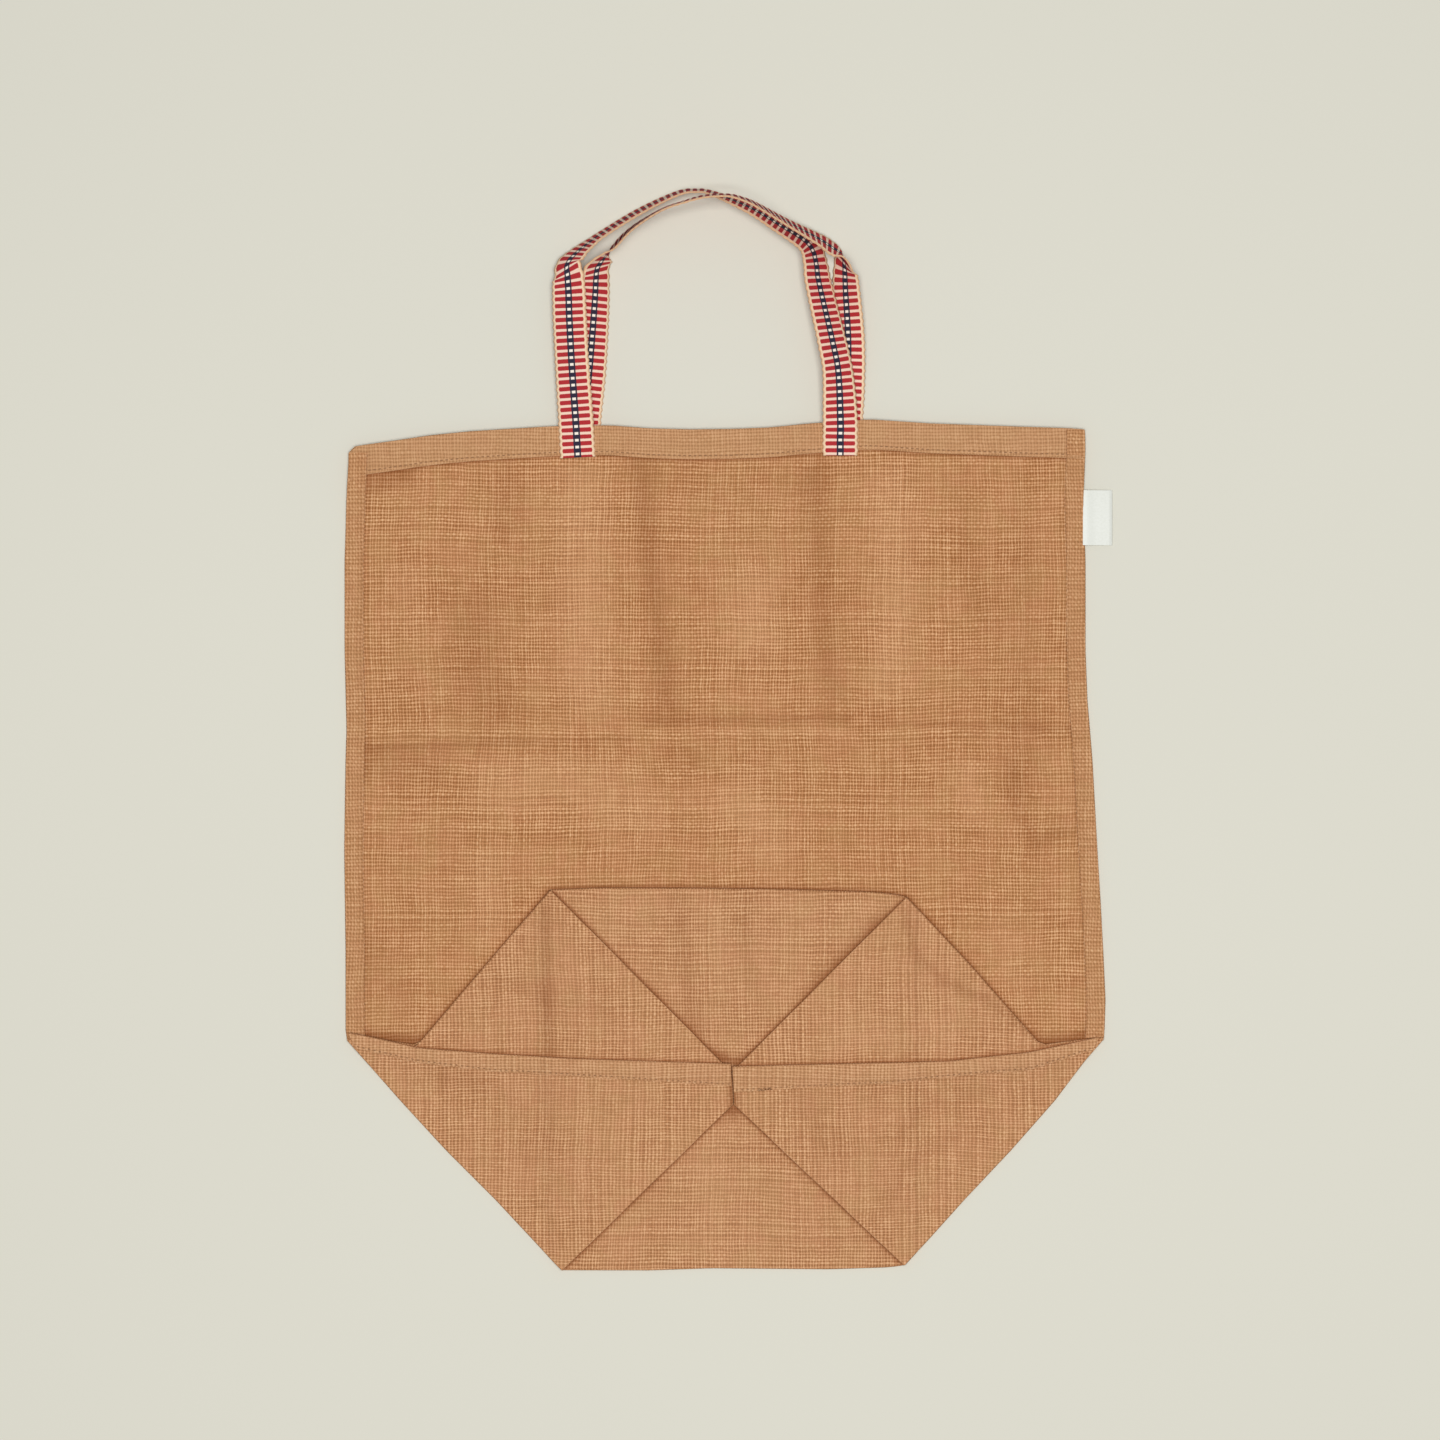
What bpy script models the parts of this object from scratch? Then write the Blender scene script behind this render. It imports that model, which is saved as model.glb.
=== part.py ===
"""Open-weave produce bag, folded flat as a block-bottom sack, with two woven tape handles and a side label.

X runs across the bag, Y from the base towards the handles, Z up from the surface that the bag lies on. The
tables are in millimetres and everything built is in metres.
"""

import math

import bmesh
import bpy
import numpy as np
from mathutils import Vector
from mathutils.geometry import delaunay_2d_cdt

MM = 0.001

CLOTH = 1.0  # thickness of the open-weave cloth
PITCH = 1.5  # height from one folded layer to the next
HEM_DEPTH = 15.0
FIN_WIDTH = 9.2  # side seam allowance that stands out past the stitching
FOLD_INSET = 0.9  # how far a flat layer stops short of its rounded fold
TAPE_WIDTH = 18.9
TAPE_THICK = 1.2
LABEL_THICK = 1.0
MOUTH_LIFT = 1.9  # the back hem lies over the feet of the back handle
MOUTH_LEVEL = 4.95  # middle height of the front cloth at the mouth

# Outline of the lying bag, each run as x, y points. The sides are the free edges of the two seam fins.
MOUTH = (
    (-196.4, 206.5), (-195.6, 209.0), (-192.4, 209.8), (-175.2, 212.2), (-154.4, 215.3), (-133.6, 217.4),
    (-92.0, 220.0), (-60.8, 220.5), (-40.0, 218.9), (-19.2, 218.4), (1.6, 218.6), (22.4, 219.4),
    (43.2, 221.5), (74.4, 223.6), (105.6, 221.5), (147.2, 220.0), (178.4, 219.0), (184.6, 218.6),
)
RIGHT_SIDE = (
    (185.1, 209.6), (184.1, 182.0), (186.2, 150.8), (186.2, 104.0), (187.2, 78.0), (189.8, 46.8),
    (192.4, 0.0), (194.0, -26.0), (195.4, -52.0), (196.6, -78.0), (196.2, -92.0), (195.8, -98.0),
)
RIGHT_DIAGONAL = (
    (195.8, -98.0), (186.2, -109.2), (170.6, -130.0), (147.7, -156.0), (123.2, -182.0), (104.5, -202.8),
    (92.2, -215.8),
)
BOTTOM = ((92.2, -215.8), (84.8, -216.9), (53.6, -217.9), (-8.8, -217.4), (-40.0, -218.5), (-85.8, -218.4))
LEFT_DIAGONAL = (
    (-85.8, -218.4), (-91.0, -213.2), (-120.1, -182.0), (-146.1, -156.0), (-170.0, -130.0), (-188.2, -109.2),
    (-197.4, -98.8),
)
LEFT_SIDE = (
    (-197.4, -98.8), (-198.1, -93.6), (-198.1, -52.0), (-198.8, 0.0), (-198.1, 46.8), (-197.6, 62.4),
    (-198.6, 104.0), (-198.6, 150.8), (-197.6, 182.0), (-196.4, 202.8), (-196.4, 206.5),
)

# Folded base: the corners of its top edge, the two upper folds that run out to the sides, the two ear tips.
TOP_LEFT = (-91.5, -21.3)
TOP_RIGHT = (93.1, -25.0)
TOP_EDGE = (TOP_LEFT, (-66.0, -20.3), (-14.0, -20.5), (38.0, -21.3), (74.4, -22.4), (86.3, -23.4), TOP_RIGHT)
LEFT_FOLD = ((-197.4, -98.8), (-179.4, -99.4), (-160.7, -102.0), (-130.0, -66.0), TOP_LEFT)
RIGHT_FOLD = (TOP_RIGHT, (125.0, -59.0), (162.8, -102.0), (180.0, -99.8), (195.8, -98.0))
LEFT_TIP = ((-0.6, -115.4), (1.2, -132.1))
RIGHT_TIP = ((5.4, -116.5), (4.2, -132.1))
BASE_LEFT = (-85.8, -218.4)
BASE_RIGHT = (92.2, -215.8)

# Seam fins pressed up over the base: free upper edge, then the stitched lower edge.
LEFT_FIN = (
    ((-196.6, -95.4), (-179.4, -98.8), (-160.7, -103.2), (-121.2, -106.4), (-78.0, -108.7), (-28.1, -110.4),
     (0.6, -111.3)),
    ((-193.0, -103.0), (-160.0, -110.5), (-121.2, -115.2), (-78.0, -117.4), (-28.1, -120.6), (0.0, -122.6)),
)
RIGHT_FIN = (
    ((3.2, -113.0), (57.2, -111.3), (114.4, -110.2), (157.0, -105.6), (192.9, -97.8)),
    ((4.7, -125.8), (40.0, -123.4), (85.8, -121.2), (130.0, -116.6), (157.0, -114.6), (190.0, -103.8)),
)

# Soft billows of the front cloth: centre, half width, half length, lean to the right per unit of height, rise.
BILLOWS = (
    (-66.0, 128.0, 26.0, 62.0, -0.10, 3.0),
    (8.0, 135.0, 27.0, 58.0, 0.05, 3.2),
    (82.0, 128.0, 24.0, 66.0, 0.02, 2.8),
    (-135.0, 120.0, 34.0, 70.0, 0.05, 1.9),
    (140.0, 118.0, 27.0, 74.0, -0.12, 2.0),
    (-128.0, 6.0, 38.0, 44.0, -0.20, 2.0),
    (-25.0, 22.0, 40.0, 30.0, 0.00, 1.5),
    (60.0, 20.0, 30.0, 34.0, 0.20, 1.3),
    (142.0, 4.0, 30.0, 52.0, -0.15, 2.1),
)
# Crease left by an earlier folding, across the front cloth.
STORAGE_CREASE = (
    (-186.0, 56.2), (-120.0, 58.5), (-56.0, 60.0), (-44.0, 68.0), (70.0, 69.5), (120.0, 64.5), (178.0, 60.0),
)
CREASE_DEPTH = 0.7

# Handles, from the left foot to the right one: centre x and y, height of the lower edge, roll of the tape in
# degrees, and how far its rows of weave are turned in plan. A roll above 0 lifts the edge on the loop's inner
# side, one below 0 the edge on its outer side.
FRONT_HANDLE = (
    (-77.5, 204, 6.4, 0, 0), (-78, 213, 6.4, 0, 0), (-78.5, 223, 6.4, 6, 0), (-80.3, 250, 6.4, 15, 0),
    (-81.6, 275, 7.4, 17, 0), (-82, 289, 8, 19, 2), (-82.4, 297, 8, 25, 12), (-82.4, 303.8, 6.6, 38, 36),
    (-77.4, 309.8, 4, 60, 22), (-71, 315, 2.2, 70, 6), (-63.8, 320.2, 1.4, 73.5, 0), (-45.2, 331.6, 0.4, 74.5, 0),
    (-25.6, 340.8, 0.3, 77, 0), (-16, 342.2, 0.3, 78.5, 0), (-8, 341, 0.3, 77, 0), (12, 333, 0.3, 68, 0),
    (28, 323.6, 0.4, 61, 0), (39.5, 316.6, 0.9, 54, 4), (44, 311.5, 1.2, 50, 4), (46, 304, 1.6, 46, 0),
    (47.5, 294, 2.6, 41, 0), (54.5, 263.5, 6.2, 34, 0), (57.5, 247.5, 6.4, 29, 0), (58.8, 223, 6.4, 8, 0),
    (58.8, 213, 6.4, 0, 0), (58.8, 205, 6.4, 0, 0),
)
BACK_HANDLE = (
    (-75, 205, 0, 0, 0), (-75, 214, 0, 0, 0), (-74.5, 226, 0, 0, 0), (-72, 248, 0, -14, 0), (-70, 271, 0, -27, 0),
    (-68.8, 288, 0.1, -35, -2), (-68.4, 296, 0.2, -40, 4), (-67.6, 302.5, 0.3, -48, 26), (-63.4, 308.3, 0.7, -82, 16),
    (-59, 312.8, 1.4, -100, 2), (-51, 320.5, 4.5, -101, 0), (-42.5, 326.1, 9.5, -100, 0), (-32.5, 331, 16, -99, 0),
    (-22.5, 334.1, 20, -99, 0), (-12, 336.8, 20.8, -100, 0), (0, 337.5, 21, -100, 0), (8, 335.7, 20.2, -101, 0),
    (15.5, 332.6, 18.2, -102, 0), (32.5, 323.8, 11, -106, 0), (47.5, 316.3, 6, -113, 0), (53.5, 312.6, 4.2, -116, 0),
    (57, 310.5, 3, -112, -8), (59.6, 308.6, 2, -98, -30), (60.9, 306, 1.3, -74, -40), (61.4, 302.6, 0.8, -54, -22),
    (61.6, 298, 0.5, -47, -6), (61.9, 290, 0.2, -41, 0), (63.2, 265, 0, -26, 0), (62.6, 240, 0, -10, 0),
    (61.8, 226, 0, 0, 0), (61.5, 214, 0, 0, 0), (61.3, 205, 0, 0, 0),
)
TAPE_STEP = 3.4  # length of one lofted piece of tape
TAPE_COLUMNS = 3

LABEL_TOP = 187.2
LABEL_BOTTOM = 158.6
LABEL_SECTION = ((0.35, 2.1), (4.6, 2.0), (9.6, 1.6), (15.2, 1.0))  # distance past the seam fin, middle height

CLOTH_COLOUR = (0.50, 0.26, 0.12, 1.0)
TAPE_COLOUR = (0.41, 0.03, 0.03, 1.0)
LABEL_COLOUR = (0.85, 0.84, 0.80, 1.0)


def smooth(low, high, value):
    t = np.clip((np.asarray(value, float) - low) / (high - low), 0.0, 1.0)
    return t * t * (3.0 - 2.0 * t)


def resample(points, step):
    """The run of points cut into even pieces of about this length, keeping both ends."""
    points = np.asarray(points, float)
    runs = np.concatenate([[0.0], np.cumsum(np.linalg.norm(np.diff(points, axis=0), axis=1))])
    count = max(1, round(runs[-1] / step))
    places = np.linspace(0.0, runs[-1], count + 1)
    return np.stack([np.interp(places, runs, column) for column in points.T], axis=1)


def side_x(run, y):
    table = sorted((py, px) for px, py in run)
    return np.interp(y, [row[0] for row in table], [row[1] for row in table])


def distance_to(points, run):
    """Shortest distance from each point to a run of straight pieces."""
    points = np.asarray(points, float).reshape(-1, 2)
    run = np.asarray(run, float)
    best = np.full(len(points), np.inf)
    for start, end in zip(run[:-1], run[1:]):
        along = end - start
        t = np.clip(((points - start) @ along) / max(along @ along, 1e-9), 0.0, 1.0)
        best = np.minimum(best, np.linalg.norm(points - (start + t[:, None] * along), axis=1))
    return best


def inside(points, outline):
    points = np.asarray(points, float).reshape(-1, 2)
    outline = np.asarray(outline, float)
    found = np.zeros(len(points), bool)
    for (x0, y0), (x1, y1) in zip(outline, np.roll(outline, -1, axis=0)):
        crosses = (y0 > points[:, 1]) != (y1 > points[:, 1])
        x = x0 + (points[:, 1] - y0) / np.where(y1 == y0, 1e-9, y1 - y0) * (x1 - x0)
        found ^= crosses & (points[:, 0] < x)
    return found


def crease_y(x):
    """Hidden fold where the front cloth turns back up under the base."""
    return -119.6 + 21.2 * (np.asarray(x, float) / 197.0) ** 2


def mouth_ramp(y):
    return smooth(160.0, 199.0, y)


def over_front(x, y):
    """1 above the hidden front fold, falling to 0 below it."""
    return smooth(-22.0, -1.6, y - crease_y(x))


def over_base(x, y):
    """1 over the folded base panel, falling to 0 outside its two side folds."""
    left = TOP_LEFT[0] + (y - TOP_LEFT[1]) * (BASE_LEFT[0] - TOP_LEFT[0]) / (BASE_LEFT[1] - TOP_LEFT[1])
    right = TOP_RIGHT[0] + (y - TOP_RIGHT[1]) * (BASE_RIGHT[0] - TOP_RIGHT[0]) / (BASE_RIGHT[1] - TOP_RIGHT[1])
    return smooth(-15.0, -1.5, x - left) * smooth(-15.0, -1.5, right - x)


def storage_groove(x, y):
    middle = np.interp(x, [p[0] for p in STORAGE_CREASE], [p[1] for p in STORAGE_CREASE])
    return CREASE_DEPTH * np.exp(-(((y - middle) / 4.5) ** 2))


def billow(x, y):
    x, y = np.asarray(x, float), np.asarray(y, float)
    rise = np.full(np.broadcast(x, y).shape, 0.35)
    for centre_x, centre_y, half_width, half_length, lean, height in BILLOWS:
        u = (x - centre_x - lean * (y - centre_y)) / half_width
        v = (y - centre_y) / half_length
        rise = rise + height * np.exp(-(u**2) - v**4)
    rise = rise + 0.25 * (np.sin(0.061 * x + 0.7) * np.sin(0.047 * y + 1.1) + 1.0)
    fade = smooth(8.0, 40.0, x - side_x(LEFT_SIDE, y)) * smooth(8.0, 40.0, side_x(RIGHT_SIDE, y) - x)
    fade = fade * (1.0 - smooth(160.0, 197.0, y)) * (0.30 + 0.70 * smooth(-55.0, -5.0, y))
    return np.maximum(rise - storage_groove(x, y), 0.0) * fade * smooth(-2.0, 26.0, y - crease_y(x))


def level_back(x, y):
    return CLOTH / 2 + MOUTH_LIFT * mouth_ramp(y)


def level_front(x, y):
    low = CLOTH / 2 + PITCH
    return low + (MOUTH_LEVEL - low) * mouth_ramp(y) + billow(x, y)


def level_strip(x, y):
    return level_front(x, y) + PITCH


def level_base(x, y):
    return CLOTH / 2 + PITCH + 2 * PITCH * over_front(x, y) + billow(x, y)


def level_inner_ear(x, y):
    return level_base(x, y) + PITCH


def level_outer_ear(x, y):
    return level_base(x, y) + 2 * PITCH * over_base(x, y)


def inset(outline, amount):
    """The closed outline drawn in by this much, corner by corner."""
    outline = np.asarray(outline, float)
    area = np.sum(outline[:, 0] * np.roll(outline[:, 1], -1) - np.roll(outline[:, 0], -1) * outline[:, 1])
    before = outline - np.roll(outline, 1, axis=0)
    after = np.roll(outline, -1, axis=0) - outline
    turn = np.sign(area)
    normals = []
    for a, b in zip(before, after):
        a, b = a / np.linalg.norm(a), b / np.linalg.norm(b)
        middle = np.array([-(a[1] + b[1]), a[0] + b[0]]) * turn
        length = np.linalg.norm(middle)
        normals.append(middle / length / max(0.6, length / 2))
    return outline + amount * np.array(normals)


def closed_run(*runs, step):
    """The runs joined end to end as one outline, cut at an even step, with repeated corners dropped."""
    points = np.concatenate([resample(run, step) for run in runs])
    keep = np.linalg.norm(points - np.roll(points, 1, axis=0), axis=1) > 0.8
    return points[keep]


def interior(outline, spacing, guides):
    """Points of a staggered grid inside the outline, clear of it and of the guide lines."""
    low, high = outline.min(axis=0), outline.max(axis=0)
    rows = np.arange(low[1], high[1], spacing * math.sqrt(3) / 2)
    grid = [
        (x + (spacing / 2 if i % 2 else 0.0), y)
        for i, y in enumerate(rows)
        for x in np.arange(low[0], high[0], spacing)
    ]
    grid = np.array(grid)
    grid = grid[inside(grid, outline)]
    clear = distance_to(grid, np.vstack([outline, outline[:1]])) > 0.45 * spacing
    for guide in guides:
        clear &= distance_to(grid, guide) > 0.4 * spacing
    return grid[clear]


def triangulate(outline, spacing, guides):
    points = [Vector(p) for p in outline]
    edges = []
    for guide in guides:
        first = len(points)
        points += [Vector(p) for p in guide]
        edges += [(i, i + 1) for i in range(first, len(points) - 1)]
    points += [Vector(p) for p in interior(outline, spacing, guides)]
    result = delaunay_2d_cdt(points, edges, [list(range(len(outline)))], 1, 1e-4)
    return np.array([tuple(p) for p in result[0]]), [tuple(face) for face in result[2]]


def mesh_object(name, vertices, faces):
    mesh = bpy.data.meshes.new(name)
    mesh.from_pydata([tuple(v * MM for v in vertex) for vertex in vertices], [], faces)
    shape = bmesh.new()
    shape.from_mesh(mesh)
    bmesh.ops.recalc_face_normals(shape, faces=shape.faces)
    shape.to_mesh(mesh)
    shape.free()
    made = bpy.data.objects.new(name, mesh)
    bpy.context.scene.collection.objects.link(made)
    return made


def slab(name, outline, spacing, lower, upper, guides=()):
    """A sheet over this outline, between two heights that are functions of x and y."""
    flat, triangles = triangulate(np.asarray(outline, float), spacing, guides)
    x, y = flat[:, 0], flat[:, 1]
    count = len(flat)
    vertices = np.vstack([np.stack([x, y, lower(x, y)], axis=1), np.stack([x, y, upper(x, y)], axis=1)])
    used = {}
    for face in triangles:
        for a, b in zip(face, face[1:] + face[:1]):
            used[(a, b)] = used.get((a, b), 0) + 1
    faces = [tuple(reversed(face)) for face in triangles]
    faces += [tuple(i + count for i in face) for face in triangles]
    faces += [(a, b, b + count, a + count) for a, b in used if (b, a) not in used]
    return mesh_object(name, vertices, faces)


def cloth_slab(name, outline, spacing, level, guides=()):
    return slab(
        name, outline, spacing, lambda x, y: level(x, y) - CLOTH / 2, lambda x, y: level(x, y) + CLOTH / 2, guides
    )


def rounded_fold(name, run, below, above, outward, step=13.0):
    """The turned edge between two layers: a bulging strip along the run, from one layer's level to the other's."""
    path = resample(run, step)
    tangents = np.gradient(path, axis=0)
    tangents /= np.linalg.norm(tangents, axis=1)[:, None]
    normals = np.stack([tangents[:, 1], -tangents[:, 0]], axis=1) * outward
    x, y = path[:, 0], path[:, 1]
    low = below(x, y) - CLOTH / 2 + 0.05
    high = above(x, y) + CLOTH / 2 - 0.05
    section = ((-2.1, 0.0), (-0.75, 0.0), (0.0, 0.5), (-0.75, 1.0), (-2.1, 1.0))
    vertices = []
    for place, normal, bottom, top in zip(path, normals, low, high):
        for out, part in section:
            vertices.append((*(place + normal * out), bottom + (top - bottom) * part))
    size = len(section)
    faces = [
        (i * size + j, i * size + (j + 1) % size, (i + 1) * size + (j + 1) % size, (i + 1) * size + j)
        for i in range(len(path) - 1)
        for j in range(size)
    ]
    faces += [tuple(range(size)), tuple(range(len(vertices) - size, len(vertices)))]
    return mesh_object(name, vertices, faces)


def material(name, colour, roughness):
    made = bpy.data.materials.new(name)
    made.use_nodes = True
    shader = made.node_tree.nodes["Principled BSDF"]
    shader.inputs["Base Color"].default_value = colour
    shader.inputs["Roughness"].default_value = roughness
    return made


def joined(name, pieces, finish):
    """One solid from overlapping pieces."""
    helpers = bpy.data.collections.new(name + "_pieces")
    bpy.context.scene.collection.children.link(helpers)
    first = pieces[0]
    for piece in pieces[1:]:
        bpy.context.scene.collection.objects.unlink(piece)
        helpers.objects.link(piece)
    union = first.modifiers.new("union", "BOOLEAN")
    union.operation = "UNION"
    union.operand_type = "COLLECTION"
    union.collection = helpers
    union.solver = "EXACT"
    graph = bpy.context.evaluated_depsgraph_get()
    mesh = bpy.data.meshes.new_from_object(first.evaluated_get(graph))
    made = bpy.data.objects.new(name, mesh)
    for piece in pieces:
        bpy.data.objects.remove(piece)
    bpy.data.collections.remove(helpers)
    mesh.name = name
    mesh.materials.clear()
    mesh.materials.append(finish)
    bpy.context.scene.collection.objects.link(made)
    return made


def build_body():
    hem_left = np.asarray(LEFT_SIDE[-2]) + (1.0, 0.0)
    mouth_inner = [(x, y - 1.1) for x, y in MOUTH[3:-1]]
    full = closed_run(
        LEFT_SIDE[:-1], [hem_left, *mouth_inner, (184.0, 208.0)], RIGHT_SIDE, RIGHT_DIAGONAL, BOTTOM, LEFT_DIAGONAL,
        step=13.0,
    )
    crease = [(x, float(crease_y(x))) for x in np.linspace(195.8, -197.4, 31)]
    front = closed_run(LEFT_SIDE[:-1], [hem_left, *mouth_inner, (184.0, 208.0)], RIGHT_SIDE, crease, step=13.0)
    strip = closed_run(LEFT_FOLD, TOP_EDGE, RIGHT_FOLD, crease, step=13.0)
    panel = closed_run(TOP_EDGE, [TOP_RIGHT, BASE_RIGHT], BOTTOM, [BASE_LEFT, TOP_LEFT], step=12.0)
    inner_left = closed_run([TOP_LEFT, LEFT_TIP[0]], LEFT_TIP, [LEFT_TIP[1], BASE_LEFT], [BASE_LEFT, TOP_LEFT],
                            step=12.0)
    inner_right = closed_run([TOP_RIGHT, RIGHT_TIP[0]], RIGHT_TIP, [RIGHT_TIP[1], BASE_RIGHT],
                             [BASE_RIGHT, TOP_RIGHT], step=12.0)
    outer_left = closed_run(LEFT_FOLD, [TOP_LEFT, LEFT_TIP[0]], LEFT_TIP, [LEFT_TIP[1], BASE_LEFT], LEFT_DIAGONAL,
                            step=12.0)
    outer_right = closed_run(RIGHT_FOLD, RIGHT_DIAGONAL, [BASE_RIGHT, RIGHT_TIP[1]], RIGHT_TIP[::-1],
                             [RIGHT_TIP[0], TOP_RIGHT], step=12.0)
    across = [resample([(x, y + shift) for x, y in STORAGE_CREASE], 15.0) for shift in (-9.0, 0.0, 9.0)]
    across = [line[(line[:, 0] > -184.0) & (line[:, 0] < 176.0)] for line in across]

    def below_crease(shift, low_x, high_x):
        xs = np.linspace(low_x, high_x, 12)
        return np.stack([xs, crease_y(xs) + shift], axis=1)

    ramp = [below_crease(shift, -76.0, 80.0) for shift in (-2.0, -12.0, -22.0)]
    left_ramp = [
        resample([(TOP_LEFT[0] - shift, y0), (BASE_LEFT[0] - shift, y1)], 13.0)
        for shift, y0, y1 in ((1.5, -34.0, -206.0), (8.0, -42.0, -200.0), (15.0, -48.0, -194.0))
    ]
    right_ramp = [
        resample([(TOP_RIGHT[0] + shift, y0), (BASE_RIGHT[0] + shift, y1)], 13.0)
        for shift, y0, y1 in ((1.5, -38.0, -204.0), (8.0, -46.0, -196.0), (15.0, -53.0, -190.0))
    ]
    pieces = [
        cloth_slab("back_panel", inset(full, FOLD_INSET), 34.0, level_back),
        cloth_slab("front_panel", inset(front, FOLD_INSET), 16.0, level_front, across),
        cloth_slab("front_strip", inset(strip, FOLD_INSET), 15.0, level_strip),
        cloth_slab("base_panel", inset(panel, FOLD_INSET), 13.0, level_base, ramp),
        cloth_slab("inner_ear_left", inset(inner_left, FOLD_INSET), 13.0, level_inner_ear),
        cloth_slab("inner_ear_right", inset(inner_right, FOLD_INSET), 13.0, level_inner_ear),
        cloth_slab("outer_ear_left", inset(outer_left, FOLD_INSET), 12.0, level_outer_ear, left_ramp),
        cloth_slab("outer_ear_right", inset(outer_right, FOLD_INSET), 12.0, level_outer_ear, right_ramp),
        rounded_fold("diagonal_left", LEFT_DIAGONAL, level_back, level_outer_ear, -1),
        rounded_fold("diagonal_right", RIGHT_DIAGONAL, level_back, level_outer_ear, -1),
        rounded_fold("bottom_fold", BOTTOM, level_back, level_base, -1),
        rounded_fold("hidden_crease", crease, level_front, level_strip, -1),
        rounded_fold("top_edge", TOP_EDGE, level_strip, level_base, -1),
        rounded_fold("left_fold", LEFT_FOLD, level_strip, level_outer_ear, -1),
        rounded_fold("right_fold", RIGHT_FOLD, level_strip, level_outer_ear, -1),
        rounded_fold("base_side_left", [BASE_LEFT, TOP_LEFT], level_base, level_inner_ear, -1),
        rounded_fold("base_side_right", [TOP_RIGHT, BASE_RIGHT], level_base, level_inner_ear, -1),
        rounded_fold("ear_left_top", [TOP_LEFT, LEFT_TIP[0]], level_inner_ear, level_outer_ear, -1),
        rounded_fold("ear_left_tip", LEFT_TIP, level_inner_ear, level_outer_ear, -1, 6.0),
        rounded_fold("ear_left_bottom", [LEFT_TIP[1], BASE_LEFT], level_inner_ear, level_outer_ear, -1),
        rounded_fold("ear_right_top", [RIGHT_TIP[0], TOP_RIGHT], level_inner_ear, level_outer_ear, -1),
        rounded_fold("ear_right_tip", RIGHT_TIP[::-1], level_inner_ear, level_outer_ear, -1, 6.0),
        rounded_fold("ear_right_bottom", [BASE_RIGHT, RIGHT_TIP[1]], level_inner_ear, level_outer_ear, -1),
    ]
    pieces += hem_bands() + side_fins() + base_fins()
    return joined("bag_body", pieces, material("open_weave_cloth", CLOTH_COLOUR, 0.95))


def hem_bands():
    top = resample(MOUTH, 12.0)
    lower = top[::-1] - (0.0, HEM_DEPTH)
    lower[0][0], lower[-1][0] = 184.6, -197.0
    outline = np.vstack([top, lower])
    grown = CLOTH / 2
    return [
        slab("front_hem", outline, 12.0, lambda x, y: level_front(x, y) - grown - 0.35,
             lambda x, y: level_front(x, y) + grown + 0.45),
        slab("back_hem", outline, 12.0, lambda x, y: level_back(x, y) - grown - 0.25,
             lambda x, y: level_back(x, y) + grown + 0.3),
    ]


def side_fins():
    made = []
    for name, run, way in (("left_fin", LEFT_SIDE, 1.0), ("right_fin", RIGHT_SIDE, -1.0)):
        free = resample(run, 13.0)
        stitched = (free + (way * FIN_WIDTH, 0.0))[::-1]
        made.append(
            slab(name, np.vstack([free, stitched]), 12.0, lambda x, y: level_back(x, y) - CLOTH / 2 + 0.12,
                 lambda x, y: level_front(x, y) + CLOTH / 2 + 0.3)
        )
    return made


def base_fins():
    made = []
    for name, (free, stitched) in (("base_fin_left", LEFT_FIN), ("base_fin_right", RIGHT_FIN)):
        outline = np.vstack([resample(free, 13.0), resample(stitched[::-1], 13.0)])
        made.append(
            slab(name, outline, 12.0, level_outer_ear, lambda x, y: level_outer_ear(x, y) + CLOTH / 2 + 1.1)
        )
    return made


def smooth_rows(table, step):
    """The table's rows joined by a smooth curve and cut at an even step along it."""
    rows = np.array(table, float)
    padded = np.vstack([2 * rows[0] - rows[1], rows, 2 * rows[-1] - rows[-2]])
    fine = []
    for i in range(1, len(padded) - 2):
        a, b, c, d = padded[i - 1 : i + 3]
        for t in np.linspace(0.0, 1.0, 12, endpoint=False):
            fine.append(
                0.5 * (2 * b + (c - a) * t + (2 * a - 5 * b + 4 * c - d) * t**2 + (3 * b - 3 * c + d - a) * t**3)
            )
    fine.append(rows[-1])
    fine = np.array(fine)
    runs = np.concatenate([[0.0], np.cumsum(np.linalg.norm(np.diff(fine[:, :3], axis=0), axis=1))])
    places = np.linspace(0.0, runs[-1], round(runs[-1] / step) + 1)
    return np.stack([np.interp(places, runs, column) for column in fine.T], axis=1)


def tape_frames(table, step):
    """Centre, direction across the tape and face normal at even steps along it."""
    rows = smooth_rows(table, step)
    roll = np.radians(rows[:, 3])
    height = rows[:, 2] + TAPE_WIDTH / 2 * np.abs(np.sin(roll)) + TAPE_THICK / 2 * np.abs(np.cos(roll))
    centre = np.column_stack([rows[:, 0], rows[:, 1], height])
    tangent = np.gradient(centre, axis=0)
    tangent /= np.linalg.norm(tangent, axis=1)[:, None]
    flat = np.column_stack([tangent[:, 1], -tangent[:, 0], np.zeros(len(rows))])
    flat /= np.linalg.norm(flat, axis=1)[:, None]
    up = np.cross(flat, tangent)
    turn = np.radians(rows[:, 4])
    flat = np.column_stack([
        flat[:, 0] * np.cos(turn) - flat[:, 1] * np.sin(turn),
        flat[:, 0] * np.sin(turn) + flat[:, 1] * np.cos(turn),
        flat[:, 2],
    ])
    across = flat * np.cos(roll)[:, None] + up * np.sin(roll)[:, None]
    normal = np.cross(across, tangent)
    return centre, across, normal / np.linalg.norm(normal, axis=1)[:, None]


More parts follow.
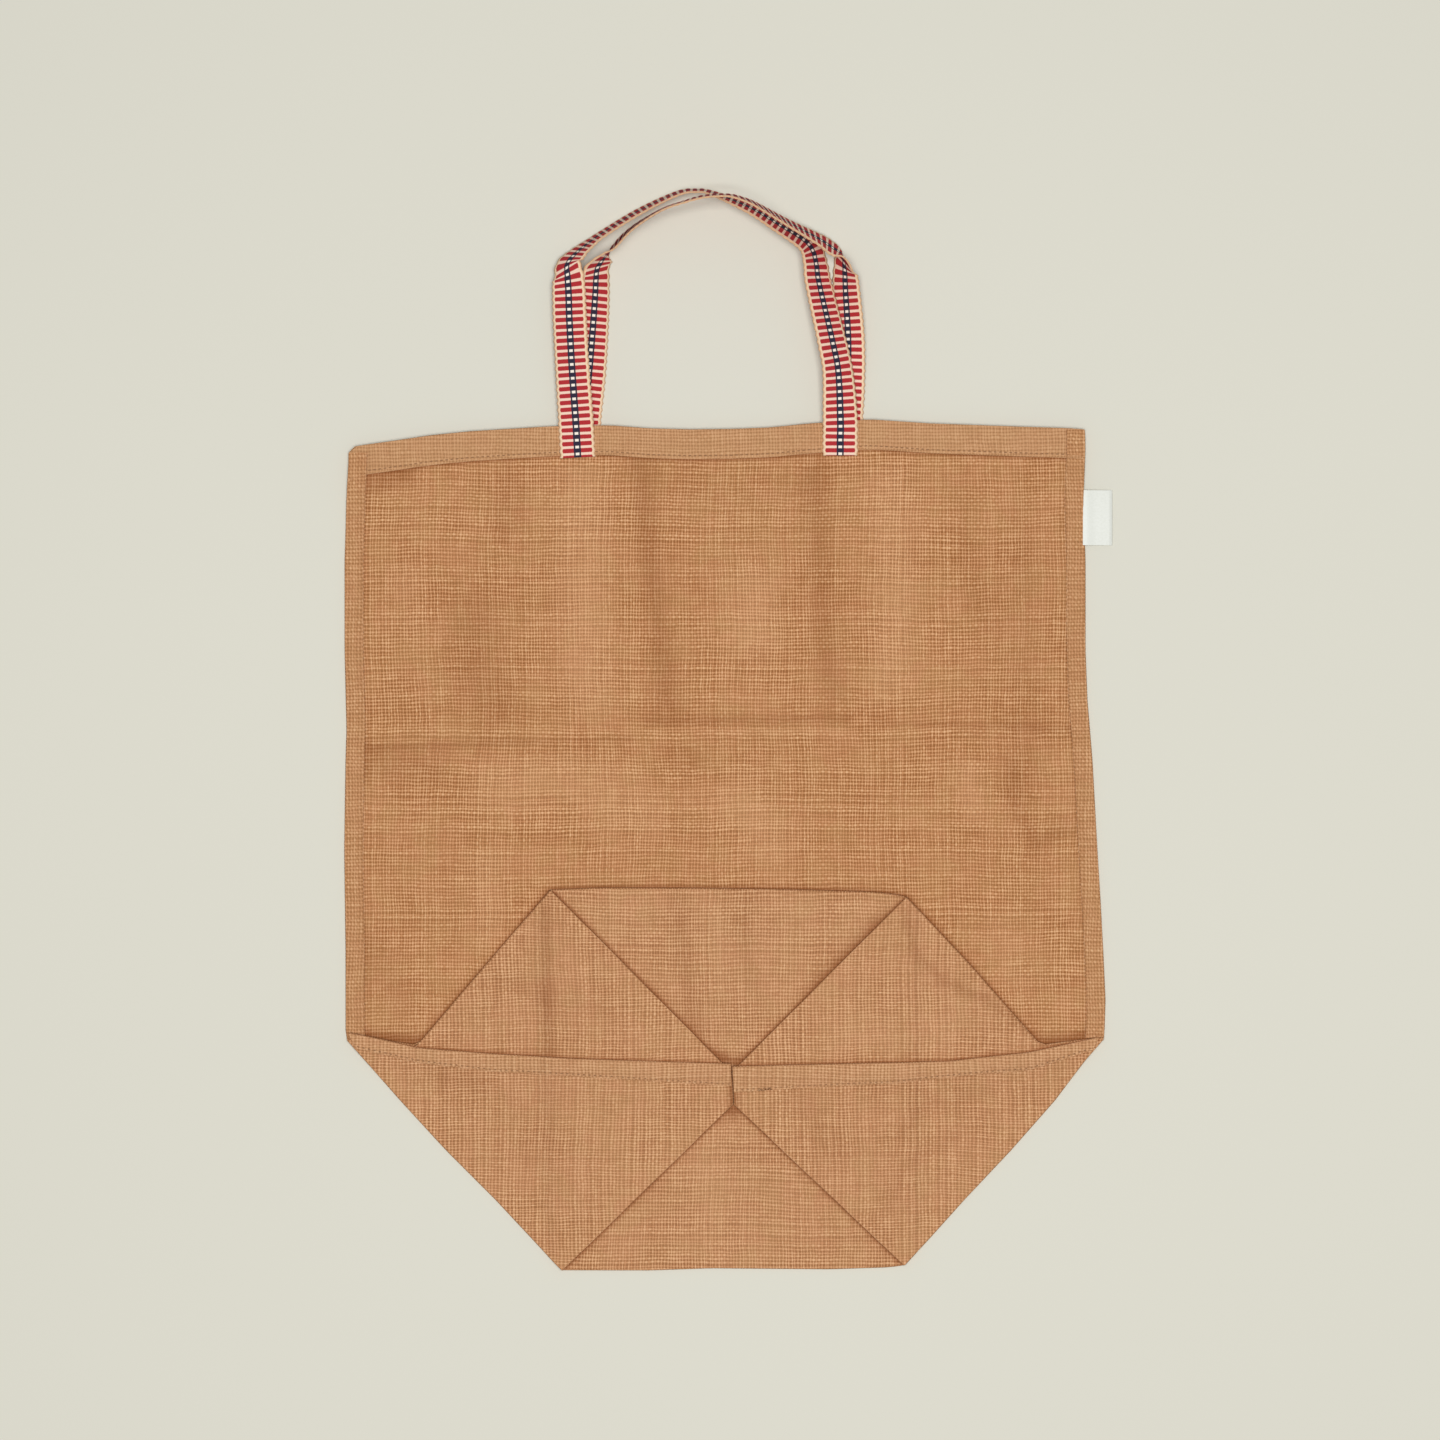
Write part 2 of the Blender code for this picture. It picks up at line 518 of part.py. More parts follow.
def build_handle(name, table, finish):
    centre, across, normal = tape_frames(table, TAPE_STEP)
    columns = np.linspace(-0.5, 0.5, TAPE_COLUMNS + 1)
    vertices = []
    for c, a, n in zip(centre, across, normal):
        vertices += [c + a * TAPE_WIDTH * part + n * TAPE_THICK / 2 for part in columns]
        vertices += [c + a * TAPE_WIDTH * part - n * TAPE_THICK / 2 for part in columns[::-1]]
    size = 2 * len(columns)
    faces = [
        (i * size + j, i * size + (j + 1) % size, (i + 1) * size + (j + 1) % size, (i + 1) * size + j)
        for i in range(len(centre) - 1)
        for j in range(size)
    ]
    faces += [tuple(range(size)), tuple(range(len(vertices) - size, len(vertices)))]
    made = mesh_object(name, vertices, faces)
    made.data.materials.append(finish)
    return made


def build_label():
    vertices = []
    for past, height in LABEL_SECTION:
        for y in (LABEL_TOP, LABEL_BOTTOM):
            x = float(side_x(RIGHT_SIDE, y)) + past
            vertices += [(x, y, height + LABEL_THICK / 2), (x, y, height - LABEL_THICK / 2)]
    faces = []
    for i in range(len(LABEL_SECTION) - 1):
        a, b = 4 * i, 4 * (i + 1)
        faces += [(a, a + 2, b + 2, b), (a + 1, b + 1, b + 3, a + 3), (a, b, b + 1, a + 1), (a + 2, a + 3, b + 3, b + 2)]
    last = 4 * (len(LABEL_SECTION) - 1)
    faces += [(0, 1, 3, 2), (last, last + 2, last + 3, last + 1)]
    made = mesh_object("label", vertices, faces)
    made.data.materials.append(material("satin_label", LABEL_COLOUR, 0.35))
    return made


for leftover in list(bpy.data.objects):
    bpy.data.objects.remove(leftover)

build_body()
tape = material("woven_tape", TAPE_COLOUR, 0.8)
build_handle("handle_front", FRONT_HANDLE, tape)
build_handle("handle_back", BACK_HANDLE, tape)
build_label()
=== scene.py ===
import math

import bpy
import numpy as np
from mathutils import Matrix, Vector
from mathutils.geometry import delaunay_2d_cdt


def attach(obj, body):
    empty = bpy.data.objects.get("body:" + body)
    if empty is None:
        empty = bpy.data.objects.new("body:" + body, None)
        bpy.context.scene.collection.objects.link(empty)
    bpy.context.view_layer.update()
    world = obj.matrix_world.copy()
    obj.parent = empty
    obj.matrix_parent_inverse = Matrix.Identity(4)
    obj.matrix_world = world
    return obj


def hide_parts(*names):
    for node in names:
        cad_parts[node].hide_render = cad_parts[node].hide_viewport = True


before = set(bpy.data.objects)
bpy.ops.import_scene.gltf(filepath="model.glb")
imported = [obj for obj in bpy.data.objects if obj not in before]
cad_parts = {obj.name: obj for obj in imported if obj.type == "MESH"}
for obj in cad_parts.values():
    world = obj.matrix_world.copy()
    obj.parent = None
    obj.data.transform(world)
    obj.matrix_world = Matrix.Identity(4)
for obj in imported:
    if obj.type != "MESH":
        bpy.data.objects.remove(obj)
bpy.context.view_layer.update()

MM = 0.001

# The lying bag, in millimetres like every table here. X runs across it, and Y from the base towards the
# handles.
PITCH = 1.5  # height from one folded layer to the next
LOWEST = 0.5  # middle of the layer that lies on the floor
HEM_DEPTH = 15.0
FIN_WIDTH = 9.2  # seam allowance outside the stitching
MOUTH_LIFT = 1.9
MOUTH_LEVEL = 4.95

MOUTH = (
    (-196.4, 206.5), (-195.6, 209.0), (-192.4, 209.8), (-175.2, 212.2), (-154.4, 215.3), (-133.6, 217.4),
    (-92.0, 220.0), (-60.8, 220.5), (-40.0, 218.9), (-19.2, 218.4), (1.6, 218.6), (22.4, 219.4),
    (43.2, 221.5), (74.4, 223.6), (105.6, 221.5), (147.2, 220.0), (178.4, 219.0), (185.7, 218.4),
)
RIGHT_SIDE = (
    (185.7, 218.4), (186.0, 209.6), (185.0, 182.0), (186.2, 150.8), (186.2, 104.0), (187.2, 78.0),
    (189.8, 46.8), (192.4, 0.0), (194.0, -26.0), (195.4, -52.0), (196.6, -78.0), (196.2, -92.0),
    (195.8, -98.0),
)
RIGHT_DIAGONAL = (
    (195.8, -98.0), (186.2, -109.2), (170.6, -130.0), (147.7, -156.0), (123.2, -182.0), (104.5, -202.8),
    (92.2, -215.8),
)
BOTTOM = ((92.2, -215.8), (84.8, -216.9), (53.6, -217.9), (-8.8, -217.4), (-40.0, -218.5), (-85.8, -218.4))
LEFT_DIAGONAL = (
    (-85.8, -218.4), (-91.0, -213.2), (-120.1, -182.0), (-146.1, -156.0), (-170.0, -130.0), (-188.2, -109.2),
    (-197.4, -98.8),
)
LEFT_SIDE = (
    (-197.4, -98.8), (-198.1, -93.6), (-198.1, -52.0), (-198.8, 0.0), (-198.1, 46.8), (-197.6, 62.4),
    (-198.6, 104.0), (-198.6, 150.8), (-197.6, 182.0), (-196.4, 202.8), (-196.4, 206.5),
)
TOP_LEFT = (-91.5, -21.3)
TOP_RIGHT = (93.1, -25.0)
TOP_EDGE = (TOP_LEFT, (-66.0, -20.3), (-14.0, -20.5), (38.0, -21.3), (74.4, -22.4), (86.3, -23.4), TOP_RIGHT)
LEFT_FOLD = ((-197.4, -98.8), (-179.4, -99.4), (-160.7, -102.0), (-130.0, -66.0), TOP_LEFT)
RIGHT_FOLD = (TOP_RIGHT, (125.0, -59.0), (162.8, -102.0), (180.0, -99.8), (195.8, -98.0))
LEFT_TIP = ((1.8, -115.4), (2.7, -119.5), (2.0, -124.0), (3.1, -128.0), (2.8, -132.1))
RIGHT_TIP = ((2.9, -115.4), (3.8, -119.5), (3.1, -124.0), (4.2, -128.0), (3.9, -132.1))
BASE_LEFT = (-85.8, -218.4)
BASE_RIGHT = (92.2, -215.8)

# Seam fins pressed up over the base: free upper edge, then the stitched lower edge.
LEFT_FIN = (
    ((-196.6, -95.4), (-179.4, -98.8), (-160.7, -103.2), (-121.2, -106.4), (-78.0, -108.7), (-28.1, -110.4),
     (2.0, -111.3)),
    ((-193.0, -103.0), (-160.0, -110.5), (-121.2, -115.2), (-78.0, -117.4), (-28.1, -120.6), (2.2, -122.6)),
)
RIGHT_FIN = (
    ((2.9, -112.6), (57.2, -111.3), (114.4, -110.2), (157.0, -105.6), (192.9, -97.8)),
    ((3.6, -125.8), (40.0, -123.4), (85.8, -121.2), (130.0, -116.6), (157.0, -114.6), (190.0, -103.8)),
)

# Soft billows of the front cloth: centre, half width, half length, lean to the right per unit of height,
# and rise.
BILLOWS = (
    (-66.0, 128.0, 26.0, 62.0, -0.10, 3.0),
    (8.0, 135.0, 27.0, 58.0, 0.05, 3.2),
    (82.0, 128.0, 24.0, 66.0, 0.02, 2.8),
    (-135.0, 120.0, 34.0, 70.0, 0.05, 1.9),
    (140.0, 118.0, 27.0, 74.0, -0.12, 2.0),
    (-128.0, 6.0, 38.0, 44.0, -0.20, 2.0),
    (-25.0, 22.0, 40.0, 30.0, 0.00, 1.5),
    (60.0, 20.0, 30.0, 34.0, 0.20, 1.3),
    (142.0, 4.0, 30.0, 52.0, -0.15, 2.1),
)
STORAGE_CREASE = (
    (-186.0, 56.2), (-120.0, 58.5), (-56.0, 60.0), (-44.0, 68.0), (70.0, 69.5), (120.0, 64.5), (178.0, 60.0),
)
CREASE_DEPTH = 0.7
HEM_RISE = 0.95  # outer face of the turned hem above the cloth that it lies on
FIN_RISE = 1.9  # free edge of a base fin above the ear that it lies on
HEM_ENDS = (185.9, -197.0)  # right and left ends of the hem's lower edge

# The plies of cloth are numbered: 0 back, 1 front, 2 strip, then these.
BASE_PLY = 3
EAR_PLY = 4
EDGE_PLY = 8
HEM_PLY = 10
SEAM_PLY = 14
FIN_PLY = 16

# Soft troughs of the front cloth, of the base and of the ears: line, half width, depth, and how dark their
# painted shade is. One with a depth and a shade below 0 is a low ridge with painted light.
FRONT_TROUGHS = (
    (((-46.0, 198.0), (-40.0, 151.0), (-34.0, 109.0), (-31.0, 78.0)), 8.5, 0.8, 0.42),
    (((47.0, 196.0), (48.0, 151.0), (50.0, 109.0), (55.0, 83.0)), 10.0, 0.8, 0.36),
    (((-113.0, 188.0), (-116.0, 168.0)), 13.0, 0.4, 0.30),
    (((-130.0, 122.0), (-130.0, 98.0), (-122.0, 76.0)), 20.0, 0.5, 0.34),
    (((-184.0, 190.0), (-168.0, 195.0)), 8.0, 0.4, 0.42),
    (((-30.0, 190.0), (6.0, 184.0), (38.0, 190.0)), 11.0, 0.3, 0.20),
    (((120.0, 190.0), (124.0, 150.0), (134.0, 118.0)), 9.0, 0.4, 0.24),
    (((152.0, 180.0), (154.0, 110.0), (156.0, 40.0)), 14.0, 0.4, 0.22),
    (((-196.0, 45.0), (-152.0, 42.0)), 10.0, 0.3, 0.34),
    (((-186.0, -50.0), (-170.0, -78.0)), 13.0, 0.3, 0.26),
    (((148.0, 44.0), (150.0, 22.0), (162.0, 3.0), (176.0, 12.0)), 6.5, 0.4, 0.34),
    (((-26.0, 48.0), (-8.0, 44.0)), 11.0, 0.3, 0.28),
    (((-42.0, 67.0), (64.0, 68.4)), 3.2, 0.4, 0.46),
    (((-38.0, 62.0), (62.0, 63.0)), 3.0, -0.3, -0.24),
    (((-197.0, 53.0), (-120.0, 55.6), (-50.0, 58.0)), 3.0, 0.4, 0.38),
    (((76.0, 67.0), (120.0, 65.0), (188.0, 62.5)), 2.8, 0.3, 0.36),
    (((-193.0, -96.0), (-176.0, -97.5), (-157.0, -99.0)), 3.0, 0.3, 0.66),
    (((159.0, -99.0), (176.0, -98.0), (192.0, -95.0)), 2.8, 0.3, 0.55),
    (((-76.0, 192.0), (-76.0, 130.0), (-72.0, 84.0)), 18.0, -0.4, -0.30),
    (((84.0, 192.0), (88.0, 140.0), (84.0, 88.0)), 15.0, -0.4, -0.28),
    (((14.0, 136.0), (14.0, 112.0)), 18.0, -0.3, -0.30),
    (((-166.0, 142.0), (-164.0, 118.0)), 12.0, -0.2, -0.20),
    (((-120.0, 36.0), (-82.0, 38.0), (-44.0, 18.0)), 20.0, -0.3, -0.26),
    (((-126.0, -8.0), (-122.0, -52.0)), 12.0, -0.3, -0.26),
    (((2.0, 30.0), (22.0, 4.0)), 17.0, -0.3, -0.28),
    (((126.0, 40.0), (128.0, 20.0)), 9.0, -0.3, -0.28),
    (((140.0, -40.0), (150.0, -70.0)), 13.0, -0.2, -0.18),
)
BASE_TROUGHS = (
    (((48.0, -70.0), (64.0, -54.0), (80.0, -38.0)), 6.0, 0.4, 0.46),
    (((-12.0, -105.0), (4.0, -110.0), (20.0, -107.0)), 3.2, 0.4, 0.66),
    (((0.0, -133.0), (3.0, -137.0), (7.0, -133.0)), 3.6, 0.3, 0.66),
    (((-26.0, -28.0), (-22.0, -60.0), (-16.0, -92.0)), 7.0, 0.3, 0.30),
    (((9.0, -26.0), (12.0, -70.0)), 6.0, 0.3, 0.28),
    (((-6.0, -30.0), (-4.0, -72.0)), 5.0, -0.2, -0.22),
    (((-10.0, -160.0), (-4.0, -200.0)), 22.0, -0.2, -0.18),
)
EAR_TROUGHS = (
    (((-94.0, -32.0), (-93.5, -76.0), (-92.0, -112.0)), 3.8, 0.4, 0.44),
    (((-92.0, -124.0), (-92.0, -150.0)), 4.5, 0.3, 0.20),
    (((93.5, -32.0), (96.0, -52.0), (112.0, -68.0), (136.0, -78.0), (164.0, -98.0)), 4.0, 0.4, 0.42),
    (((94.0, -80.0), (95.0, -106.0)), 5.0, 0.3, 0.24),
    (((-118.0, -66.0), (-96.0, -76.0), (-60.0, -84.0)), 6.0, 0.3, 0.22),
    (((-150.0, -118.0), (-128.0, -122.0)), 7.0, 0.4, 0.28),
    (((-112.0, -134.0), (-104.0, -160.0)), 10.0, 0.3, 0.20),
    (((36.0, -124.0), (50.0, -150.0), (62.0, -156.0)), 7.0, 0.3, 0.26),
    (((88.0, -150.0), (102.0, -134.0), (136.0, -126.0)), 4.5, 0.4, 0.28),
    (((84.0, -186.0), (92.0, -166.0), (120.0, -148.0)), 4.5, 0.4, 0.26),
    (((60.0, -96.0), (112.0, -92.0)), 13.0, -0.2, -0.20),
)

# Handles, from the left foot to the right one: centre x and y, height of the lower edge, roll of the tape in
# degrees, and how far its rows of weave are turned in plan. A roll above 0 lifts the edge on the loop's inner
# side, one below 0 the edge on its outer side.
FRONT_HANDLE = (
    (-77.5, 204, 6.4, 0, 0), (-78, 213, 6.4, 0, 0), (-78.5, 223, 6.4, 6, 0), (-80.3, 250, 6.4, 15, 0),
    (-81.6, 275, 7.4, 17, 0), (-82, 289, 8, 19, 2), (-82.4, 297, 8, 25, 12), (-82.4, 303.8, 6.6, 38, 36),
    (-77.4, 309.8, 4, 60, 22), (-71, 315, 2.2, 70, 6), (-63.8, 320.2, 1.4, 73.5, 0),
    (-45.2, 331.6, 0.4, 74.5, 0), (-25.6, 340.8, 0.3, 77, 0), (-16, 342.2, 0.3, 78.5, 0),
    (-8, 341, 0.3, 77, 0), (12, 333, 0.3, 68, 0), (28, 323.6, 0.4, 61, 0), (39.5, 316.6, 0.9, 54, 4),
    (44, 311.5, 1.2, 50, 4), (46, 304, 1.6, 46, 0), (47.5, 294, 2.6, 41, 0), (54.5, 263.5, 6.2, 34, 0),
    (57.5, 247.5, 6.4, 29, 0), (58.8, 223, 6.4, 8, 0), (58.8, 213, 6.4, 0, 0), (58.8, 205, 6.4, 0, 0),
)
BACK_HANDLE = (
    (-75, 205, 0, 0, 0), (-75, 214, 0, 0, 0), (-74.5, 226, 0, 0, 0), (-72, 248, 0, -14, 0),
    (-70, 271, 0, -27, 0), (-68.8, 288, 0.1, -35, -2), (-68.4, 296, 0.2, -40, 4),
    (-67.6, 302.5, 0.3, -48, 26), (-63.4, 308.3, 0.7, -82, 16), (-59, 312.8, 1.4, -100, 2),
    (-51, 320.5, 4.5, -101, 0), (-42.5, 326.1, 9.5, -100, 0), (-32.5, 331, 16, -99, 0),
    (-22.5, 334.1, 20, -99, 0), (-12, 336.8, 20.8, -100, 0), (0, 337.5, 21, -100, 0),
    (8, 335.7, 20.2, -101, 0), (15.5, 332.6, 18.2, -102, 0), (32.5, 323.8, 11, -106, 0),
    (47.5, 316.3, 6, -113, 0), (53.5, 312.6, 4.2, -116, 0), (57, 310.5, 3, -112, -8),
    (59.6, 308.6, 2, -98, -30), (60.9, 306, 1.3, -74, -40), (61.4, 302.6, 0.8, -54, -22),
    (61.6, 298, 0.5, -47, -6), (61.9, 290, 0.2, -41, 0), (63.2, 265, 0, -26, 0), (62.6, 240, 0, -10, 0),
    (61.8, 226, 0, 0, 0), (61.5, 214, 0, 0, 0), (61.3, 205, 0, 0, 0),
)
TAPE_WIDTH = 18.9
TAPE_THICK = 1.2
TAPE_ROW = 3.57  # one red bar and one cream gap

LABEL_TOP = 187.2
LABEL_BOTTOM = 158.6
# The label's distance past the seam fin, and the height of its middle there.
LABEL_SECTION = ((0.0, 2.9), (2.4, 2.7), (6.0, 2.1), (10.2, 1.6), (15.2, 1.0))

WARP_PITCH = 1.56  # threads that run up the bag
WEFT_PITCH = 1.87  # threads that run across it

# The view in metres: its height above the floor, the width of floor that it frames, and the middle of that.
SENSOR_WIDTH = 36.0
VIEW_HEIGHT = 2.4
VIEW_WIDTH = 0.7502
VIEW_CENTRE = (-0.00364, 0.0676)


def linear(hex_colour):
    """A screen colour such as c08a60 as linear light, with alpha."""
    channels = [int(hex_colour[i : i + 2], 16) / 255 for i in (0, 2, 4)]
    return (*[c / 12.92 if c <= 0.04045 else ((c + 0.055) / 1.055) ** 2.4 for c in channels], 1.0)


def smooth(low, high, value):
    t = np.clip((np.asarray(value, float) - low) / (high - low), 0.0, 1.0)
    return t * t * (3.0 - 2.0 * t)


def resample(points, step):
    """The run of points cut into even pieces of about this length, keeping both ends."""
    points = np.asarray(points, float)
    runs = np.concatenate([[0.0], np.cumsum(np.linalg.norm(np.diff(points, axis=0), axis=1))])
    count = max(1, round(runs[-1] / step))
    places = np.linspace(0.0, runs[-1], count + 1)
    return np.stack([np.interp(places, runs, column) for column in points.T], axis=1)


def side_x(run, y):
    table = sorted((py, px) for px, py in run)
    return np.interp(y, [row[0] for row in table], [row[1] for row in table])


def distance_to(points, run):
    """Shortest distance from each point to a run of straight pieces."""
    points = np.asarray(points, float).reshape(-1, 2)
    run = np.asarray(run, float)
    best = np.full(len(points), np.inf)
    for start, end in zip(run[:-1], run[1:]):
        along = end - start
        t = np.clip(((points - start) @ along) / max(along @ along, 1e-9), 0.0, 1.0)
        best = np.minimum(best, np.linalg.norm(points - (start + t[:, None] * along), axis=1))
    return best


def inside(points, outline):
    points = np.asarray(points, float).reshape(-1, 2)
    outline = np.asarray(outline, float)
    found = np.zeros(len(points), bool)
    for (x0, y0), (x1, y1) in zip(outline, np.roll(outline, -1, axis=0)):
        crosses = (y0 > points[:, 1]) != (y1 > points[:, 1])
        x = x0 + (points[:, 1] - y0) / np.where(y1 == y0, 1e-9, y1 - y0) * (x1 - x0)
        found ^= crosses & (points[:, 0] < x)
    return found


def crease_y(x):
    """Hidden fold where the front cloth turns back up under the base."""
    return -119.6 + 21.2 * (np.asarray(x, float) / 197.0) ** 2


def mouth_ramp(y):
    return smooth(160.0, 199.0, y)


def beside(run, *gaps):
    """Copies of a run of points, shifted to its left by each gap."""
    path = resample(run, 2.5)
    tangents = np.gradient(path, axis=0)
    tangents /= np.linalg.norm(tangents, axis=1)[:, None]
    return [path + np.stack([-tangents[:, 1], tangents[:, 0]], axis=1) * gap for gap in gaps]


def over_front(x, y):
    """1 above the hidden front fold, falling to 0 below it."""
    return smooth(-22.0, -1.6, y - crease_y(x))


def over_base(x, y):
    """1 over the folded base panel, falling to 0 outside its two side folds."""
    slope = (BASE_LEFT[0] - TOP_LEFT[0]) / (BASE_LEFT[1] - TOP_LEFT[1])
    left = TOP_LEFT[0] + (y - TOP_LEFT[1]) * slope
    slope = (BASE_RIGHT[0] - TOP_RIGHT[0]) / (BASE_RIGHT[1] - TOP_RIGHT[1])
    right = TOP_RIGHT[0] + (y - TOP_RIGHT[1]) * slope
    return smooth(-11.0, -1.0, x - left) * smooth(-11.0, -1.0, right - x)


def storage_groove(x, y):
    middle = np.interp(x, [p[0] for p in STORAGE_CREASE], [p[1] for p in STORAGE_CREASE])
    return CREASE_DEPTH * np.exp(-(((y - middle) / 4.5) ** 2))


def billow(x, y):
    x, y = np.asarray(x, float), np.asarray(y, float)
    rise = np.full(np.broadcast(x, y).shape, 0.35)
    for centre_x, centre_y, half_width, half_length, lean, height in BILLOWS:
        u = (x - centre_x - lean * (y - centre_y)) / half_width
        v = (y - centre_y) / half_length
        rise = rise + height * np.exp(-(u**2) - v**4)
    rise = rise + 0.25 * (np.sin(0.061 * x + 0.7) * np.sin(0.047 * y + 1.1) + 1.0)
    fade = smooth(8.0, 40.0, x - side_x(LEFT_SIDE, y)) * smooth(8.0, 40.0, side_x(RIGHT_SIDE, y) - x)
    fade = fade * (1.0 - smooth(160.0, 197.0, y)) * (0.30 + 0.70 * smooth(-55.0, -5.0, y))
    return np.maximum(rise - storage_groove(x, y), 0.0) * fade * smooth(-2.0, 26.0, y - crease_y(x))


def level_back(x, y):
    return LOWEST + MOUTH_LIFT * mouth_ramp(y)


def level_front(x, y):
    low = LOWEST + PITCH
    return low + (MOUTH_LEVEL - low) * mouth_ramp(y) + billow(x, y)


def level_outside(x, y):
    """Outer face of the front cloth, up on to the turned hem."""
    mouth = np.interp(x, [p[0] for p in MOUTH], [p[1] for p in MOUTH])
    return level_front(x, y) + HEM_RISE * smooth(-HEM_DEPTH - 1.0, -HEM_DEPTH + 1.0, y - mouth)


def level_strip(x, y):
    return level_front(x, y) + PITCH


def level_base(x, y):
    return LOWEST + PITCH + 2 * PITCH * over_front(x, y) + billow(x, y)


def level_inner_ear(x, y):
    return level_base(x, y) + PITCH


def level_outer_ear(x, y):
    return level_base(x, y) + 2 * PITCH * over_base(x, y)


def raised(level, amount):
    return lambda x, y: level(x, y) + amount


def closed_run(*runs, step):
    """The runs joined end to end as one outline, cut at an even step, with repeated corners dropped."""
    points = np.concatenate([resample(run, step) for run in runs])
    keep = np.linalg.norm(points - np.roll(points, 1, axis=0), axis=1) > 0.3
    return points[keep]


def interior(outline, spacing, guides):
    """Points of a staggered grid inside the outline, clear of it and of the guide lines."""
    low, high = outline.min(axis=0), outline.max(axis=0)
    rows = np.arange(low[1], high[1], spacing * math.sqrt(3) / 2)
    columns = np.arange(low[0], high[0], spacing)
    grid = np.array([(x + (spacing / 2 if i % 2 else 0.0), y) for i, y in enumerate(rows) for x in columns])
    grid = grid[inside(grid, outline)]
    clear = distance_to(grid, np.vstack([outline, outline[:1]])) > 0.45 * spacing
    for guide in guides:
        clear &= distance_to(grid, guide) > 0.4 * spacing
    return grid[clear]


def triangulate(outline, spacing, guides):
    points = [Vector(p) for p in outline]
    edges = []
    for guide in guides:
        first = len(points)
        points += [Vector(p) for p in guide]
        edges += [(i, i + 1) for i in range(first, len(points) - 1)]
    points += [Vector(p) for p in interior(outline, spacing, guides)]
    result = delaunay_2d_cdt(points, edges, [list(range(len(outline)))], 1, 1e-4)
    used = sorted({i for face in result[2] for i in face})
    place = {i: k for k, i in enumerate(used)}
    faces = [tuple(place[i] for i in face) for face in result[2]]
    return np.array([tuple(result[0][i]) for i in used]), faces


class Cloth:
    """One mesh gathered from flat layers and turned edges. Its UV map holds places on the cloth in metres."""

    def __init__(self):
        self.points, self.threads, self.layers, self.shades, self.faces = [], [], [], [], []

    def add(self, points, threads, layer, faces, shades=None):
        first = len(self.points)
        self.points += [tuple(p * MM for p in point) for point in points]
        self.threads += [tuple(t * MM for t in thread) for thread in threads]
        self.layers += [layer] * len(points)
        self.shades += [0.0] * len(points) if shades is None else list(shades)
        self.faces += [tuple(i + first for i in face) for face in faces]

    def layer(self, outline, spacing, level, layer, turned=False, steps=(), troughs=()):
        """A flat layer bent to its level. Steps are the edges of the layers above it, each with how dark and
        how wide the painted shade beside it is, and troughs are soft lines inside the layer, sunk into it and
        painted darker, or lighter where they are low ridges."""
        guides = [line for run, _, _ in steps for line in beside(run, 0.0, 0.9, 2.2, 4.5)]
        guides += [
            line
            for run, width, _, _ in troughs if width < 3.5
            for line in beside(run, -width, 0.0, width)
        ]
        flat, triangles = triangulate(np.asarray(outline, float), spacing, guides)
        x, y = flat[:, 0], flat[:, 1]
        z, shades = level(x, y), np.zeros(len(flat))
        # Beside each step a painted shadow darkens the layer, and along each trough lies painted shade, or
        # painted light for a ridge.
        for run, painted_shading, width in steps:
            gap = distance_to(flat, run)
            shades = np.maximum(
                shades, painted_shading * (0.7 * np.exp(-(gap / width) ** 2) + 0.3 * np.exp(-gap / width / 2))
            )
        for run, width, depth, painted_shading in troughs:
            sunk = np.exp(-((distance_to(flat, run) / width) ** 2))
            z = z - depth * sunk
            shades = shades + painted_shading * sunk * (1.0 - shades)
        threads = np.stack([y, x], axis=1) if turned else flat
        self.add(np.column_stack([x, y, z]), threads, layer, triangles, shades)

    def turned_edge(self, run, below, above, bulge, layer, step=5.0):
        """The cloth going round a fold: a strip that bulges outwards from one layer's level to another's."""
        path = resample(run, step)
        tangents = np.gradient(path, axis=0)
        tangents /= np.linalg.norm(tangents, axis=1)[:, None]
        normals = np.stack([-tangents[:, 1], tangents[:, 0]], axis=1)
        low, high = below(path[:, 0], path[:, 1]), above(path[:, 0], path[:, 1])
        arc = np.concatenate([[0.0], np.cumsum(np.linalg.norm(np.diff(path, axis=0), axis=1))])
        section = [(bulge * math.sin(a), 0.5 - 0.5 * math.cos(a)) for a in np.linspace(0.0, math.pi, 5)]
        points, threads = [], []
        for place, normal, bottom, top, run_length in zip(path, normals, low, high, arc):
            for out, part in section:
                points.append((*(place + normal * out), bottom + (top - bottom) * part))
                threads.append((run_length, (top - bottom) * part))
        size = len(section)
        faces = [
            (i * size + j, (i + 1) * size + j, (i + 1) * size + j + 1, i * size + j + 1)
            for i in range(len(path) - 1)
            for j in range(size - 1)
        ]
        self.add(points, threads, layer, faces)

    def object(self, name, finish):
        mesh = bpy.data.meshes.new(name)
        mesh.from_pydata(self.points, [], self.faces)
        mesh.polygons.foreach_set("use_smooth", [True] * len(mesh.polygons))
        uv = mesh.uv_layers.new(name="threads")
        corners = np.array([loop.vertex_index for loop in mesh.loops])
        uv.data.foreach_set("uv", np.array(self.threads)[corners].ravel())
        layer = mesh.attributes.new("layer", "FLOAT", "POINT")
        layer.data.foreach_set("value", np.array(self.layers, float))
        shade = mesh.attributes.new("painted_light_and_shade", "FLOAT", "POINT")
        shade.data.foreach_set("value", np.array(self.shades, float))
        mesh.materials.append(finish)
        made = bpy.data.objects.new(name, mesh)
        bpy.context.scene.collection.objects.link(made)
        return made


# Kinds of node that need more than their inputs in order: settings, which inputs, which output.
USUAL = {
    "Attribute": ({}, (), "Fac"),
    "Bump": ({}, ("Strength", "Distance", "Height"), "Normal"),
    "MapRange": ({"interpolation_type": "SMOOTHSTEP"}, (0, 1, 2, 3, 4), 0),
    "Mix": ({"data_type": "RGBA"}, (0, 6, 7), 2),
    "TexCoord": ({}, (), "Object"),
    "TexNoise": ({}, ("Vector", "Scale", "Detail"), "Fac"),
    "TexWhiteNoise": ({"noise_dimensions": "1D"}, ("W",), "Value"),
}


